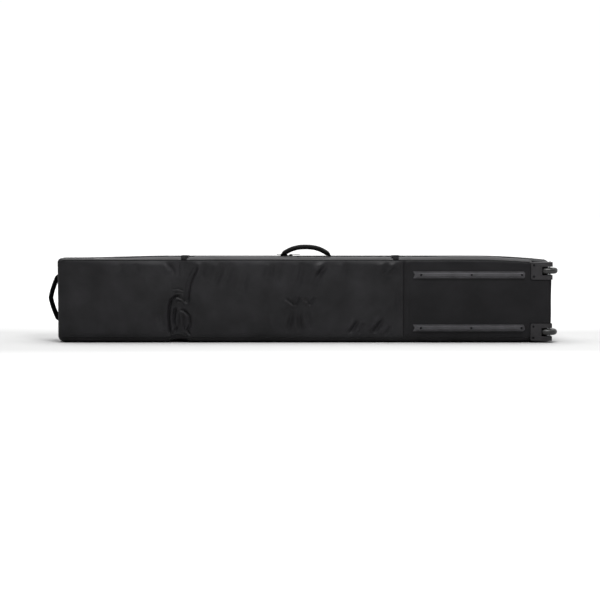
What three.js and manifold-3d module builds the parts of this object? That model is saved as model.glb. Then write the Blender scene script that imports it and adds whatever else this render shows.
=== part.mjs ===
// A wheeled padded snowboard bag, standing on one of its long narrow sides.
// Units are millimetres and +Z is up. The long axis is X, with the nose at -X and the wheels at +X.
// The base, with its skid rails and wheels, faces -Y, and the zipped lid faces +Y.
// The origin is on the floor, under the middle of the bag.
import * as THREE from "three";
import { mergeVertices } from "three/addons/utils/BufferGeometryUtils.js";
import Module from "manifold-3d";

const wasm = await Module();
wasm.setup();

// ---- driving dimensions ----
const LENGTH = 1750;
const WIDTH = 300;
const DEPTH = 150;
const GAP = 0.3; // between touching pieces
const SKIN = 2; // outer fabric with its coating
const PAD = 5.5; // wall foam
const BOARD = 6; // base foam, and the twin-wall board at the wheel end
const BOARD_INSET = 26; // the base foam and board stop this far inside the widest outline
const LINING = 1;
const BASE_INSET = 14; // from the widest outline to the base seam
const LID_INSET = 12; // from the widest outline to the lid seam
const NOSE_TOP_RADIUS = 22;
const NOSE_BOTTOM_RADIUS = 32;
const WHEEL_END_RADIUS = 18;
const TAPER_START = 600; // the upper side falls towards the wheels from here
const TAPER_DROP = 14;
const RISE_START = 740; // the lower side lifts towards the wheels from here
const RISE = 7;
const ZIP_Y = 38; // where the two halves of the zip meet
const NOSE_ZIP_END = 42; // height at which the zip ends on the nose
const WHEEL_ZIP_END = 27; // and at the wheel end
const BASE_SEAM_X = 350; // joins the plain base fabric to the reinforced wheel end
const FOLD_X = [-481, -412]; // unpadded band where the empty bag folds
const STRAP_X = { nose: -426, wheel: 323 };
const STRAP_WIDTH = 20;

const HALF = LENGTH / 2;
const BASE_Y = -DEPTH / 2;
const LID_Y = DEPTH / 2;

// ---- materials ----
const material = (color, roughness, metalness = 0) =>
  new THREE.MeshStandardMaterial({ color, roughness, metalness });
const look = {
  shell: material(0x29292b, 0.6),
  tarpaulin: material(0x202022, 0.5),
  foam: material(0x8d9094, 0.9),
  board: material(0xb9bcc0, 0.7),
  lining: material(0x50545a, 0.8),
  plastic: material(0x3a393c, 0.55),
  webbing: material(0x18181a, 0.85),
  steel: material(0xb5b6b8, 0.3, 1),
  tyre: material(0x242424, 0.6),
  hub: material(0x555558, 0.5),
  zip: material(0x161617, 0.5),
};

// ---- solids ----
const bag = new THREE.Group();
const groups = {};

// Adds a named mesh to the group of the body that it moves with.
function add(body, name, geometry, finish) {
  if (!groups[body]) {
    groups[body] = new THREE.Group();
    bag.add(groups[body]);
  }
  const mesh = new THREE.Mesh(geometry, finish);
  mesh.name = name;
  groups[body].add(mesh);
}

function toSolid(geometry) {
  const bare = geometry.clone();
  bare.deleteAttribute("normal");
  bare.deleteAttribute("uv");
  const merged = mergeVertices(bare, 1e-4);
  return new wasm.Manifold(
    new wasm.Mesh({
      numProp: 3,
      vertProperties: new Float32Array(merged.attributes.position.array),
      triVerts: new Uint32Array(merged.index.array),
    }),
  );
}

function toGeometry(solid) {
  const mesh = solid.getMesh();
  const geometry = new THREE.BufferGeometry();
  geometry.setAttribute("position", new THREE.BufferAttribute(mesh.vertProperties, 3));
  geometry.setIndex(new THREE.BufferAttribute(mesh.triVerts, 1));
  return geometry;
}

const join = (...shapes) => toGeometry(shapes.map(toSolid).reduce((a, b) => a.add(b)));
const cut = (shape, ...tools) => toGeometry(tools.map(toSolid).reduce((a, b) => a.subtract(b), toSolid(shape)));
const common = (a, b) => toGeometry(toSolid(a).intersect(toSolid(b)));

// A box between two corners.
function block(x, y, z) {
  const box = new THREE.BoxGeometry(x[1] - x[0], y[1] - y[0], z[1] - z[0]);
  return box.translate((x[0] + x[1]) / 2, (y[0] + y[1]) / 2, (z[0] + z[1]) / 2);
}

const shapeOf = (points) => new THREE.Shape(points.map(([u, v]) => new THREE.Vector2(u, v)));

// An outline of [x, z] points, extruded from y[0] to y[1].
function plate(outline, y) {
  const flat = { depth: y[1] - y[0], bevelEnabled: false };
  return new THREE.ExtrudeGeometry(shapeOf(outline), flat).rotateX(Math.PI / 2).translate(0, y[1], 0);
}

// An outline of [y, z] points, extruded from x[0] to x[1].
function bar(outline, x) {
  const turn = new THREE.Matrix4().makeBasis(
    new THREE.Vector3(0, 1, 0),
    new THREE.Vector3(0, 0, 1),
    new THREE.Vector3(1, 0, 0),
  );
  const flat = { depth: x[1] - x[0], bevelEnabled: false };
  return new THREE.ExtrudeGeometry(shapeOf(outline), flat).applyMatrix4(turn).translate(x[0], 0, 0);
}

// A round solid about an upright axis through [x, y], from z[0] to z[1].
function upright(radius, [x, y], z, sides = 24) {
  const post = new THREE.CylinderGeometry(radius, radius, z[1] - z[0], sides);
  return post.rotateX(Math.PI / 2).translate(x, y, (z[0] + z[1]) / 2);
}

// A round solid along Y through [x, z], from y[0] to y[1].
function along(radius, [x, z], y, sides = 16) {
  const post = new THREE.CylinderGeometry(radius, radius, y[1] - y[0], sides);
  return post.translate(x, (y[0] + y[1]) / 2, z);
}

// A closed profile of [radius, z] points turned about an upright axis through [x, y].
function turned(profile, [x, y], z, sides = 24) {
  const points = [...profile, profile[0]].map(([r, h]) => new THREE.Vector2(r, h));
  return new THREE.LatheGeometry(points, sides).rotateX(Math.PI / 2).translate(x, y, z);
}

// A closed profile of [y, outward offset] points, carried along stations in the XZ plane.
// A station may narrow the profile in y by its width.
function sweep(profile, stations) {
  const count = profile.length;
  const flat = profile.map(([u, v]) => new THREE.Vector2(u, v));
  const loop = THREE.ShapeUtils.isClockWise(flat) ? flat.reverse() : flat;
  const points = stations.flatMap((s) => loop.map((p) => [s.x + s.nx * p.y, p.x * s.width, s.z + s.nz * p.y]));
  const faces = [];
  for (let i = 0; i + 1 < stations.length; i++) {
    for (let j = 0; j < count; j++) {
      const [a, b] = [i * count + j, i * count + ((j + 1) % count)];
      faces.push([a, b, b + count], [a, b + count, a + count]);
    }
  }
  const last = (stations.length - 1) * count;
  for (const [a, b, c] of THREE.ShapeUtils.triangulateShape(loop, [])) {
    faces.push([a, c, b], [last + a, last + b, last + c]);
  }
  return closed(points, faces);
}

// A geometry from points and faces, turned to face outwards.
function closed(points, faces) {
  const [p, q, r] = [new THREE.Vector3(), new THREE.Vector3(), new THREE.Vector3()];
  const volume = faces.reduce((sum, [a, b, c]) => {
    p.fromArray(points[a]);
    q.fromArray(points[b]);
    r.fromArray(points[c]);
    return sum + p.dot(q.cross(r));
  }, 0);
  const geometry = new THREE.BufferGeometry();
  geometry.setAttribute("position", new THREE.Float32BufferAttribute(points.flat(), 3));
  geometry.setIndex(faces.map((f) => (volume < 0 ? [f[0], f[2], f[1]] : f)).flat());
  return geometry;
}

// A flat band of even thickness on the left of a path of [u, v] points, as a closed outline.
function ribbon(path, thickness) {
  const at = (i) => new THREE.Vector2(...path[Math.min(Math.max(i, 0), path.length - 1)]);
  const side = (a, b) => {
    const d = b.clone().sub(a).normalize();
    return new THREE.Vector2(-d.y, d.x);
  };
  const far = path.map((_, i) => {
    const before = side(at(i - (i > 0 ? 1 : 0)), at(i > 0 ? i : 1));
    const after = side(at(i < path.length - 1 ? i : i - 1), at(i < path.length - 1 ? i + 1 : i));
    const middle = before.clone().add(after).normalize();
    const reach = thickness / middle.dot(after);
    return at(i).addScaledVector(middle, reach).toArray();
  });
  return [...path, ...far.reverse()];
}

// ---- the bag's outline, in the XZ plane ----
const station = (x, z, nx, nz) => ({ x, z, nx, nz, width: 1 });

function arc(cx, cz, radius, from, to, steps = 4) {
  return Array.from({ length: steps + 1 }, (_, i) => {
    const a = THREE.MathUtils.degToRad(from + ((to - from) * i) / steps);
    return station(cx + radius * Math.cos(a), cz + radius * Math.sin(a), Math.cos(a), Math.sin(a));
  });
}

const SIDE_END_X = HALF - WHEEL_END_RADIUS;

// A point on the upper or lower side, where it curves in towards the wheel end.
function onSide(x, start, change, level, up) {
  const t = Math.max(0, (x - start) / (SIDE_END_X - start));
  const slope = (2 * change * t) / (SIDE_END_X - start);
  const length = Math.hypot(slope, 1);
  return station(x, level + change * t * t, (-slope * up) / length, up / length);
}
const upperAt = (x) => onSide(x, TAPER_START, -TAPER_DROP, WIDTH, 1);
const lowerAt = (x) => onSide(x, RISE_START, RISE, 0, -1);

const NOSE_SIDE_X = { upper: -HALF + NOSE_TOP_RADIUS, lower: -HALF + NOSE_BOTTOM_RADIUS };
const WHEEL_TOP = WIDTH - TAPER_DROP;
const upperXs = [NOSE_SIDE_X.upper, TAPER_START, 690, 780, SIDE_END_X];
const lowerXs = [NOSE_SIDE_X.lower, RISE_START, 800, SIDE_END_X];
const noseTop = arc(NOSE_SIDE_X.upper, WIDTH - NOSE_TOP_RADIUS, NOSE_TOP_RADIUS, 180, 90);
const noseBottom = arc(NOSE_SIDE_X.lower, NOSE_BOTTOM_RADIUS, NOSE_BOTTOM_RADIUS, 270, 180);
const tilt = (at, up) => THREE.MathUtils.radToDeg(Math.atan2(at.nz * up, at.nx));
const wheelTop = arc(SIDE_END_X, WHEEL_TOP - WHEEL_END_RADIUS, WHEEL_END_RADIUS, tilt(upperAt(SIDE_END_X), 1), 0);
const wheelBottom = arc(SIDE_END_X, RISE + WHEEL_END_RADIUS, WHEEL_END_RADIUS, 0, -tilt(lowerAt(SIDE_END_X), -1));
const upperSide = upperXs.map(upperAt);
const lowerSide = lowerXs.map(lowerAt);
const onNose = (z) => station(-HALF, z, -1, 0);
const onWheelEnd = (z) => station(HALF, z, 1, 0);

// The whole outline, moved inwards, as [x, z] points.
function outline(inset) {
  const all = [...noseBottom, ...noseTop, ...upperSide.slice(1, -1), ...wheelTop, ...wheelBottom];
  const rest = lowerSide.slice(1, -1).reverse();
  return [...all, ...rest].map((s) => [s.x - s.nx * inset, s.z - s.nz * inset]);
}

// Leaves half a gap at both ends of a row of stations.
function trimmed(stations) {
  const shift = (a, b) => {
    const d = new THREE.Vector2(b.x - a.x, b.z - a.z).setLength(GAP / 2);
    return { ...a, x: a.x + d.x, z: a.z + d.y };
  };
  const [first, second] = stations;
  const [last, before] = [stations.at(-1), stations.at(-2)];
  return [shift(first, second), ...stations.slice(1, -1), shift(last, before)];
}

// ---- wheel housings: a corner plate with a round well for the wheel ----
const HOUSING = { x: [800, 876], halfWidth: 30.7, wall: 3, endDepth: 67, sideDepth: 42 };
const WHEEL = { x: 863.6, y: -49, radius: 34, halfWidth: 10.5 };
const WELL = { radius: 37.5, halfWidth: 15, wall: 3.3 };
const AXLE_RADIUS = 4;
const PLATE_Y = BASE_Y - 2; // outer face of the corner plate
const wheelZ = { upper: 254.7, lower: 37.7 };
const SCREW = { head: 4, headDepth: 1.8, shank: 1.9, holeSlack: 0.3 };
const HOUSING_SCREW = { x: 810, spread: 20 };

function housing(z, up) {
  const zs = [z - HOUSING.halfWidth, z + HOUSING.halfWidth];
  const corner = 7;
  const [x0, x1] = HOUSING.x;
  const rounded = new THREE.Shape();
  rounded.moveTo(x1, zs[0]);
  rounded.lineTo(x1, zs[1]);
  rounded.lineTo(x0 + corner, zs[1]);
  rounded.absarc(x0 + corner, zs[1] - corner, corner, Math.PI / 2, Math.PI, false);
  rounded.absarc(x0 + corner, zs[0] + corner, corner, Math.PI, Math.PI * 1.5, false);
  const face = plate(
    rounded.extractPoints(4).shape.map((p) => [p.x, p.y]),
    [PLATE_Y, PLATE_Y + HOUSING.wall],
  );
  const end = block([x1 - HOUSING.wall, x1], [PLATE_Y, PLATE_Y + HOUSING.endDepth], zs);
  const outer = up > 0 ? [zs[1] - HOUSING.wall, zs[1]] : [zs[0], zs[0] + HOUSING.wall];
  const side = block([x0 + corner, x1], [PLATE_Y, PLATE_Y + HOUSING.sideDepth], outer);
  const reach = WELL.halfWidth + WELL.wall;
  const wellZ = [z - reach, z + reach];
  const radius = WELL.radius + WELL.wall;
  const well = common(
    join(
      upright(radius, [WHEEL.x, WHEEL.y], wellZ, 32),
      block([WHEEL.x - radius, x1], [PLATE_Y, WHEEL.y], wellZ),
      block([WHEEL.x, x1], [PLATE_Y, WHEEL.y + radius], wellZ),
    ),
    block([0, x1], [PLATE_Y, 0], wellZ),
  );
  const pocketZ = [z - WELL.halfWidth, z + WELL.halfWidth];
  const pocket = upright(WELL.radius, [WHEEL.x, WHEEL.y], pocketZ, 32);
  const bore = upright(AXLE_RADIUS + GAP, [WHEEL.x, WHEEL.y], [z - 2 * reach, z + 2 * reach], 16);
  const holes = [-1, 1].flatMap((s) => {
    const at = [HOUSING_SCREW.x, z + s * HOUSING_SCREW.spread];
    return [
      along(SCREW.head + SCREW.holeSlack, at, [PLATE_Y - 1, PLATE_Y + SCREW.headDepth]),
      along(SCREW.shank + SCREW.holeSlack, at, [PLATE_Y - 1, PLATE_Y + HOUSING.wall + 1]),
    ];
  });
  return cut(join(face, end, side, well), pocket, bore, ...holes);
}

// Room that the fabric, board and lining leave for a housing.
function housingRoom(z, up) {
  const reach = HOUSING.halfWidth + GAP;
  const past = 30;
  const zs = up > 0 ? [z - reach, z + reach + past] : [z - reach - past, z + reach];
  const wellReach = WELL.halfWidth + WELL.wall + 4;
  return [
    block([HOUSING.x[0] - GAP, 900], [-90, PLATE_Y + HOUSING.sideDepth + GAP], zs),
    block([HOUSING.x[1] - HOUSING.wall - GAP, 900], [-90, PLATE_Y + HOUSING.endDepth + GAP], zs),
    block([WHEEL.x - WELL.radius - WELL.wall - GAP, 900], [-90, -5], [z - wellReach, z + wellReach]),
  ];
}
const rooms = [...housingRoom(wheelZ.upper, 1), ...housingRoom(wheelZ.lower, -1)];

// A pan-head screw along Y, its head's outer face at y.
function screw([x, z], y, length) {
  const head = along(SCREW.head, [x, z], [y, y + SCREW.headDepth - GAP]);
  const shank = along(SCREW.shank, [x, z], [y + 0.5, y + length], 12);
  const slot = block([x - 2.4, x + 2.4], [y - 1, y + 0.7], [z - 0.5, z + 0.5]);
  const cross = block([x - 0.5, x + 0.5], [y - 1, y + 0.7], [z - 2.4, z + 2.4]);
  return cut(join(head, shank), slot, cross);
}

// ---- skid rails ----
const RAIL = { x: [383.5, 778.5], halfWidth: 12, foot: 2, height: 9, ridge: 7, crest: 4.6, ramp: 26 };
const railZ = { upper: 241, lower: 53 };
const RAIL_SCREW_XS = [412, 590, 767];
const railTop = BASE_Y - GAP - RAIL.height;
const RAIL_SCREW_Y = railTop + 3.5;

function skidRail(z) {
  const seat = BASE_Y - GAP;
  const [x0, x1] = RAIL.x;
  const footShape = [
    [x0, z - RAIL.halfWidth],
    [x1 - 5, z - RAIL.halfWidth],
    [x1, z - RAIL.halfWidth + 5],
    [x1, z + RAIL.halfWidth - 5],
    [x1 - 5, z + RAIL.halfWidth],
    [x0, z + RAIL.halfWidth],
    [x0 + 6, z],
  ];
  const foot = plate(footShape, [seat - RAIL.foot, seat]);
  const ridge = bar(
    [
      [seat - RAIL.foot / 2, z - RAIL.ridge],
      [seat - RAIL.foot / 2, z + RAIL.ridge],
      [railTop, z + RAIL.crest],
      [railTop, z - RAIL.crest],
    ],
    [x0 + 7, x1 - 2],
  );
  const ramps = new THREE.ExtrudeGeometry(
    shapeOf([
      [x0 + 7, seat],
      [x0 + 7, seat - RAIL.foot],
      [x0 + RAIL.ramp, railTop],
      [x1 - 9, railTop],
      [x1 - 2, seat - RAIL.foot],
      [x1 - 2, seat],
    ]),
    { depth: 2 * RAIL.halfWidth, bevelEnabled: false },
  ).translate(0, 0, z - RAIL.halfWidth);
  const holes = RAIL_SCREW_XS.flatMap((x) => [
    along(SCREW.head + SCREW.holeSlack, [x, z], [railTop - 1, RAIL_SCREW_Y + SCREW.headDepth]),
    along(SCREW.shank + SCREW.holeSlack, [x, z], [railTop - 1, seat + 1]),
  ]);
  return cut(join(foot, common(ridge, ramps)), ...holes);
}

// Screw shanks pass through the fabric and the board under it.
const SHANK_END = BASE_Y + SKIN + GAP + BOARD - 1;
const shankHoles = [
  ...["upper", "lower"].flatMap((k) => RAIL_SCREW_XS.map((x) => [x, railZ[k]])),
  ...["upper", "lower"].flatMap((k) => [-1, 1].map((s) => [HOUSING_SCREW.x, wheelZ[k] + s * HOUSING_SCREW.spread])),
].map((at) => along(SCREW.shank + SCREW.holeSlack, at, [BASE_Y - 1, SHANK_END + 0.5], 12));

// ---- fabric walls, as [y, outward offset] profiles ----
const WALL_TOP = ZIP_Y - 7; // edge of the bag's wall at the zip
const RIM_EDGE = ZIP_Y + 7; // edge of the lid's rim at the zip
const baseCurve = [
  [BASE_Y, -BASE_INSET],
  [BASE_Y + 5, -6],
  [BASE_Y + 15, -1],
  [BASE_Y + 25, 0],
];
const baseCurveInside = [
  [BASE_Y + 25, -SKIN],
  [BASE_Y + 16, -SKIN - 1],
  [BASE_Y + 6.7, -SKIN - 5.3],
  [BASE_Y + SKIN, -BASE_INSET],
];
const lidCurve = [
  [LID_Y - 15, 0],
  [LID_Y - 7, -3],
  [LID_Y, -LID_INSET],
];
const lidCurveInside = [
  [LID_Y - SKIN, -LID_INSET],
  [LID_Y - 8, -SKIN - 3],
  [LID_Y - 15, -SKIN],
];
const shortWall = [...baseCurve, [WALL_TOP, 0], [WALL_TOP, -SKIN], ...baseCurveInside];
const fullWall = [...baseCurve, ...lidCurve, ...lidCurveInside, ...baseCurveInside];
const rimWall = [[RIM_EDGE, 0], ...lidCurve, ...lidCurveInside, [RIM_EDGE, -SKIN]];

function fabricShell() {
  const base = plate(outline(BASE_INSET + GAP), [BASE_Y, BASE_Y + SKIN]);
  const front = block([-1000, BASE_SEAM_X + GAP / 2], [-90, 0], [-10, WIDTH + 10]);
  const rear = block([BASE_SEAM_X - GAP / 2, 1000], [-90, 0], [-10, WIDTH + 10]);
  add("bag", "base_panel", cut(base, rear), look.shell);
  add("bag", "base_panel_wheel_end", cut(base, front, ...rooms, ...shankHoles), look.tarpaulin);
  add("bag", "side_panel_upper", cut(sweep(shortWall, trimmed(upperSide)), ...rooms), look.shell);
  add("bag", "side_panel_lower", cut(sweep(fullWall, trimmed(lowerSide)), ...rooms), look.shell);
  const overlap = 1;
  const noseLow = sweep(fullWall, trimmed([...noseBottom, onNose(NOSE_ZIP_END - 1.5)]));
  const noseHigh = sweep(shortWall, trimmed([onNose(NOSE_ZIP_END - 1.5 - overlap), ...noseTop]));
  add("bag", "end_panel_nose", join(noseLow, noseHigh), look.shell);
  const tailHigh = sweep(shortWall, trimmed([...wheelTop, onWheelEnd(WHEEL_ZIP_END - 1 - overlap)]));
  const tailLow = sweep(fullWall, trimmed([onWheelEnd(WHEEL_ZIP_END - 1), ...wheelBottom]));
  add("bag", "end_panel_wheel_end", cut(join(tailHigh, tailLow), ...rooms), look.tarpaulin);
}

// ---- foam, board and lining ----
const PAD_OUT = -SKIN - 1;
const PAD_Y = [BASE_Y + 20, WALL_TOP - 3];

function padding() {
  const insideBase = [BASE_Y + SKIN + GAP, BASE_Y + SKIN + GAP + BOARD];
  const floor = plate(outline(BASE_INSET + 3), insideBase);
  const keep = (x) => common(floor, block(x, [-90, 0], [BOARD_INSET, WIDTH - BOARD_INSET]));
  add("bag", "base_pad_nose", keep([-HALF + BOARD_INSET, FOLD_X[0]]), look.foam);
  add("bag", "base_pad_middle", keep([FOLD_X[1], BASE_SEAM_X - 6]), look.foam);
  const board = cut(keep([BASE_SEAM_X + 12, HALF - 20]), ...rooms, ...shankHoles);
  add("bag", "base_board_wheel_end", board, look.board);
  const slab = (y) => [
    [y[0], PAD_OUT],
    [y[1], PAD_OUT],
    [y[1], PAD_OUT - PAD],
    [y[0], PAD_OUT - PAD],
  ];
  const padEnd = HOUSING.x[0] - 5;
  const upper = [NOSE_SIDE_X.upper + 2, TAPER_START, 700, padEnd].map(upperAt);
  const lower = [NOSE_SIDE_X.lower + 2, RISE_START, padEnd].map(lowerAt);
  add("bag", "side_pad_upper", sweep(slab(PAD_Y), upper), look.foam);
  add("bag", "side_pad_lower", sweep(slab([PAD_Y[0], LID_Y - 17]), lower), look.foam);
  const noseX = [-HALF - PAD_OUT, -HALF - PAD_OUT + PAD];
  const noseZ = [NOSE_BOTTOM_RADIUS + 3, WIDTH - NOSE_TOP_RADIUS - 3];
  add("bag", "end_pad_nose", block(noseX, PAD_Y, noseZ), look.foam);
  const tailX = [HALF + PAD_OUT - PAD, HALF + PAD_OUT];
  const tailZ = [wheelZ.lower + HOUSING.halfWidth + 2, wheelZ.upper - HOUSING.halfWidth - 2];
  add("bag", "end_pad_wheel_end", block(tailX, PAD_Y, tailZ), look.foam);
}

function lining() {
  const outside = -PAD_OUT + PAD + GAP;
  const floorY = BASE_Y + SKIN + GAP + BOARD + GAP;
  const tub = plate(outline(outside), [floorY, PAD_Y[1]]);
  const hollow = plate(outline(outside + LINING), [floorY + LINING, PAD_Y[1] + 1]);
  const flap = [
    [PAD_Y[1] - 1, -outside],
    [LID_Y - 17, -outside],
    [LID_Y - 17, -outside - LINING],
    [PAD_Y[1] - 1, -outside - LINING],
  ];
  const hingeSide = sweep(flap, [NOSE_SIDE_X.lower + 2, RISE_START, HOUSING.x[0]].map(lowerAt));
  add("bag", "lining", cut(join(cut(tub, hollow), hingeSide), ...rooms), look.lining);
}

// ---- lid ----
function lid() {
  const panel = plate(outline(LID_INSET + GAP), [LID_Y - SKIN, LID_Y]);
  add("lid", "lid_panel", panel, look.shell);
  add("lid", "lid_rim", sweep(rimWall, trimmed(zipPath)), look.shell);
  const pad = plate(outline(LID_INSET + 5), [LID_Y - SKIN - GAP - 7.5, LID_Y - SKIN - GAP]);
  add("lid", "lid_pad", pad, look.foam);
}

// ---- main zip ----
const zipPath = [
  onNose(NOSE_ZIP_END),
  ...noseTop,
  ...upperSide.slice(1, -1),
  ...wheelTop,
  onWheelEnd(WHEEL_ZIP_END),
];
const TAPE = { reach: 15, thickness: 1, coil: 3, coilHeight: 2 };

// One tape with its coil, on the side of the zip that sign says.
function zipHalf(sign) {
  const edge = ZIP_Y + sign * 0.2;
  const low = GAP;
  const face = low + TAPE.thickness;
  return sweep(
    [
      [ZIP_Y + sign * TAPE.reach, low],
      [edge, low],
      [edge, face + TAPE.coilHeight],
      [edge + sign * TAPE.coil, face + TAPE.coilHeight],
      [edge + sign * TAPE.coil, face],
      [ZIP_Y + sign * TAPE.reach, face],
    ],
    trimmed(zipPath),
  );
}

// A slider that caps both coils, with an arch for its pull.
const SLIDER = { halfLength: 8, top: WIDTH + 5.2, pinZ: WIDTH + 7.2 };
const sliderX = { nose: -66, wheel: -50 };

function slider(x) {
  const coilTop = WIDTH + GAP + TAPE.thickness + TAPE.coilHeight;
  const ends = [x - SLIDER.halfLength + GAP, x + SLIDER.halfLength - GAP];
  const cap = block(ends, [ZIP_Y - 5, ZIP_Y + 5], [coilTop + GAP, SLIDER.top]);
  const wallZ = [coilTop - 1.4, coilTop + 1];
  const walls = [-1, 1].map((s) => {
    const ys = [ZIP_Y + s * 3.6, ZIP_Y + s * 5].sort((a, b) => a - b);
    return block([ends[0] + 1, ends[1] - 1], ys, wallZ);
  });
  const arch = block([x - 4, x + 4], [ZIP_Y - 1.5, ZIP_Y + 1.5], [SLIDER.top - 0.5, WIDTH + 9]);
  const eye = along(1.4, [x, SLIDER.pinZ], [ZIP_Y - 5, ZIP_Y + 5]);
  return cut(join(cap, ...walls, arch), eye);
}

// A pull that lies flat, away from the other slider: a pin, two arms and a tab.
function pull(x, sign) {
  const pin = along(0.9, [x, SLIDER.pinZ], [ZIP_Y - 3.5, ZIP_Y + 3.5], 12);
  const reach = (a, b) => [x + sign * a, x + sign * b].sort((p, q) => p - q);
  const flat = [SLIDER.pinZ - 0.9, SLIDER.pinZ + 0.9];
  const arms = [-1, 1].map((s) => {
    const ys = [ZIP_Y + s * 1.9, ZIP_Y + s * 3.5].sort((a, b) => a - b);
    return block(reach(-0.9, 9), ys, flat);
  });
  const tab = block(reach(7.5, 34), [ZIP_Y - 3.5, ZIP_Y + 3.5], flat);
  return join(pin, ...arms, tab);
}

function zip() {
  add("bag", "zip_half_bag", zipHalf(-1), look.zip);
  add("lid", "zip_half_lid", zipHalf(1), look.zip);
  for (const [end, sign] of [["nose", -1], ["wheel", 1]]) {
    add("slider_" + end, "slider_" + end, slider(sliderX[end]), look.steel);
    add("pull_" + end, "pull_" + end, pull(sliderX[end], sign), look.steel);
  }
}

// ---- compression straps, each with a side-release buckle on the upper side ----
const BUCKLE = { halfWidth: 13, bottom: WIDTH + 0.7, top: WIDTH + 7.2, mouth: -10.4, rear: -36, front: 16 };
const WEB = 1.4;
const CLIP_TRAVEL = 15; // how far the clip pulls out to free its prongs
const WEB_START = BUCKLE.mouth + 2.9 + CLIP_TRAVEL; // clear of the clip's rear wall when it is out

function anchorWeb(x) {
  const path = [
    [-72.6, WIDTH - 8.5],
    [-69.9, WIDTH - 5],
    [-59.9, WIDTH - 0.5],
    [-50, WIDTH + 0.4],
    [BUCKLE.rear - 1, WIDTH + 0.4],
  ];
  return bar(ribbon(path, WEB), [x - STRAP_WIDTH / 2, x + STRAP_WIDTH / 2]);
}

function lidWeb(x) {
  const slot = WIDTH + 2.7;
  const path = [
    [WEB_START, slot],
    [31.5, slot],
    [34, WIDTH + 3.9],
    [42.5, WIDTH + 3.9],
    [46, WIDTH + 1.8],
    [54, WIDTH + 1.7],
    [60.3, WIDTH + 0.6],
    [68.6, WIDTH - 2.5],
    [75.5, WIDTH - 11.6],
    [75.5, 20],
  ];
  return bar(ribbon(path, WEB), [x - STRAP_WIDTH / 2 + 0.5, x + STRAP_WIDTH / 2 - 0.5]);
}

function buckleSocket(x) {
  const { halfWidth, bottom, top, mouth, rear } = BUCKLE;
  const outer = block([x - halfWidth, x + halfWidth], [rear, mouth], [bottom, top]);
  const cavity = block([x - 10, x + 10], [rear + 10, mouth + 1], [bottom + 1.6, top - 1.6]);
  const windows = [-1, 1].map((s) => {
    const xs = [x + s * 9, x + s * (halfWidth + 1)].sort((a, b) => a - b);
    return block(xs, [rear + 13, mouth - 5], [bottom + 1.6, top - 1.6]);
  });
  const webSlot = block([x - 10.5, x + 10.5], [rear + 3, rear + 6.5], [bottom - 1, top + 1]);
  return cut(outer, cavity, ...windows, webSlot);
}

function buckleClip(x) {
  const { halfWidth, top, mouth, front } = BUCKLE;
  const bottom = WIDTH + 1.7;
  const frame = block([x - halfWidth, x + halfWidth], [mouth + GAP, front], [bottom, top - 0.3]);
  const slot = block([x - 10.2, x + 10.2], [mouth + 2, front + 1], [WIDTH + 2.3, WIDTH + 4.5]);
  const windowY = [mouth + 6, front - 9];
  const window = block([x - 10.2, x + 10.2], windowY, [WIDTH + 4, top + 1]);
  const armZ = [bottom + 1, top - 2];
  const arms = [-1, 1].map((s) => {
    const xs = [x + s * 6, x + s * 9.4].sort((a, b) => a - b);
    return block(xs, [BUCKLE.rear + 12, mouth + 1], armZ);
  });
  const tongue = block([x - 2, x + 2], [BUCKLE.rear + 12, mouth + 1], armZ);
  return join(cut(frame, slot, window), ...arms, tongue);
}

function straps() {
  for (const [end, x] of Object.entries(STRAP_X)) {
    add("bag", "strap_anchor_" + end, anchorWeb(x), look.webbing);
    add("bag", "buckle_socket_" + end, buckleSocket(x), look.plastic);
    add("lid", "strap_" + end, lidWeb(x), look.webbing);
    add("buckle_clip_" + end, "buckle_clip_" + end, buckleClip(x), look.plastic);
  }
}

// ---- handles: webbing sewn down at both feet, through a padded sleeve ----
// Stations along a hump between two feet, [x, z]. A higher power gives a flatter top, a lower one a peak.
function hump({ feet, rise, power }, steps) {
  const [from, to] = feet.map((p) => new THREE.Vector2(...p));
  const chord = to.clone().sub(from);
  const out = new THREE.Vector2(-chord.y, chord.x).normalize();
  const at = (t) => {
    const height = rise * (1 - Math.abs(t) ** power);
    return from.clone().addScaledVector(chord, (t + 1) / 2).addScaledVector(out, height);
  };
  return Array.from({ length: steps + 1 }, (_, i) => {
    const t = -1 + (2 * i) / steps;
    const ahead = at(Math.min(t + 0.02, 1)).sub(at(Math.max(t - 0.02, -1))).normalize();
    return station(at(t).x, at(t).y, -ahead.y, ahead.x);
  });
}

// A rounded section, as [y, offset] points.
const roundSection = (halfY, halfOut) =>
  Array.from({ length: 12 }, (_, i) => {
    const a = ((i + 0.5) / 12) * 2 * Math.PI;
    return [halfY * Math.cos(a), halfOut * Math.sin(a)];
  });
const flatSection = (halfY, halfOut) => [
  [-halfY, -halfOut],
  [halfY, -halfOut],
  [halfY, halfOut],
  [-halfY, halfOut],
];

const FOOT_LIFT = 3; // the feet's centre line stands this far off the fabric
const WEB_HALF = { width: 12, thickness: 1.5 };
const FOLDED_WIDTH = [0.2, 0.7]; // the webbing is folded narrow where it is sewn down
const SIDE_HANDLE = {
  feet: [[-86, WIDTH + FOOT_LIFT], [94, WIDTH + FOOT_LIFT]],
  rise: 33,
  power: 2.4,
  grip: [15, 8.3],
};
const NOSE_HANDLE = {
  feet: [[-HALF - FOOT_LIFT, 72], [-HALF - FOOT_LIFT, 240]],
  rise: 21.5,
  power: 1.5,
  grip: [14, 7.8],
};

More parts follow.
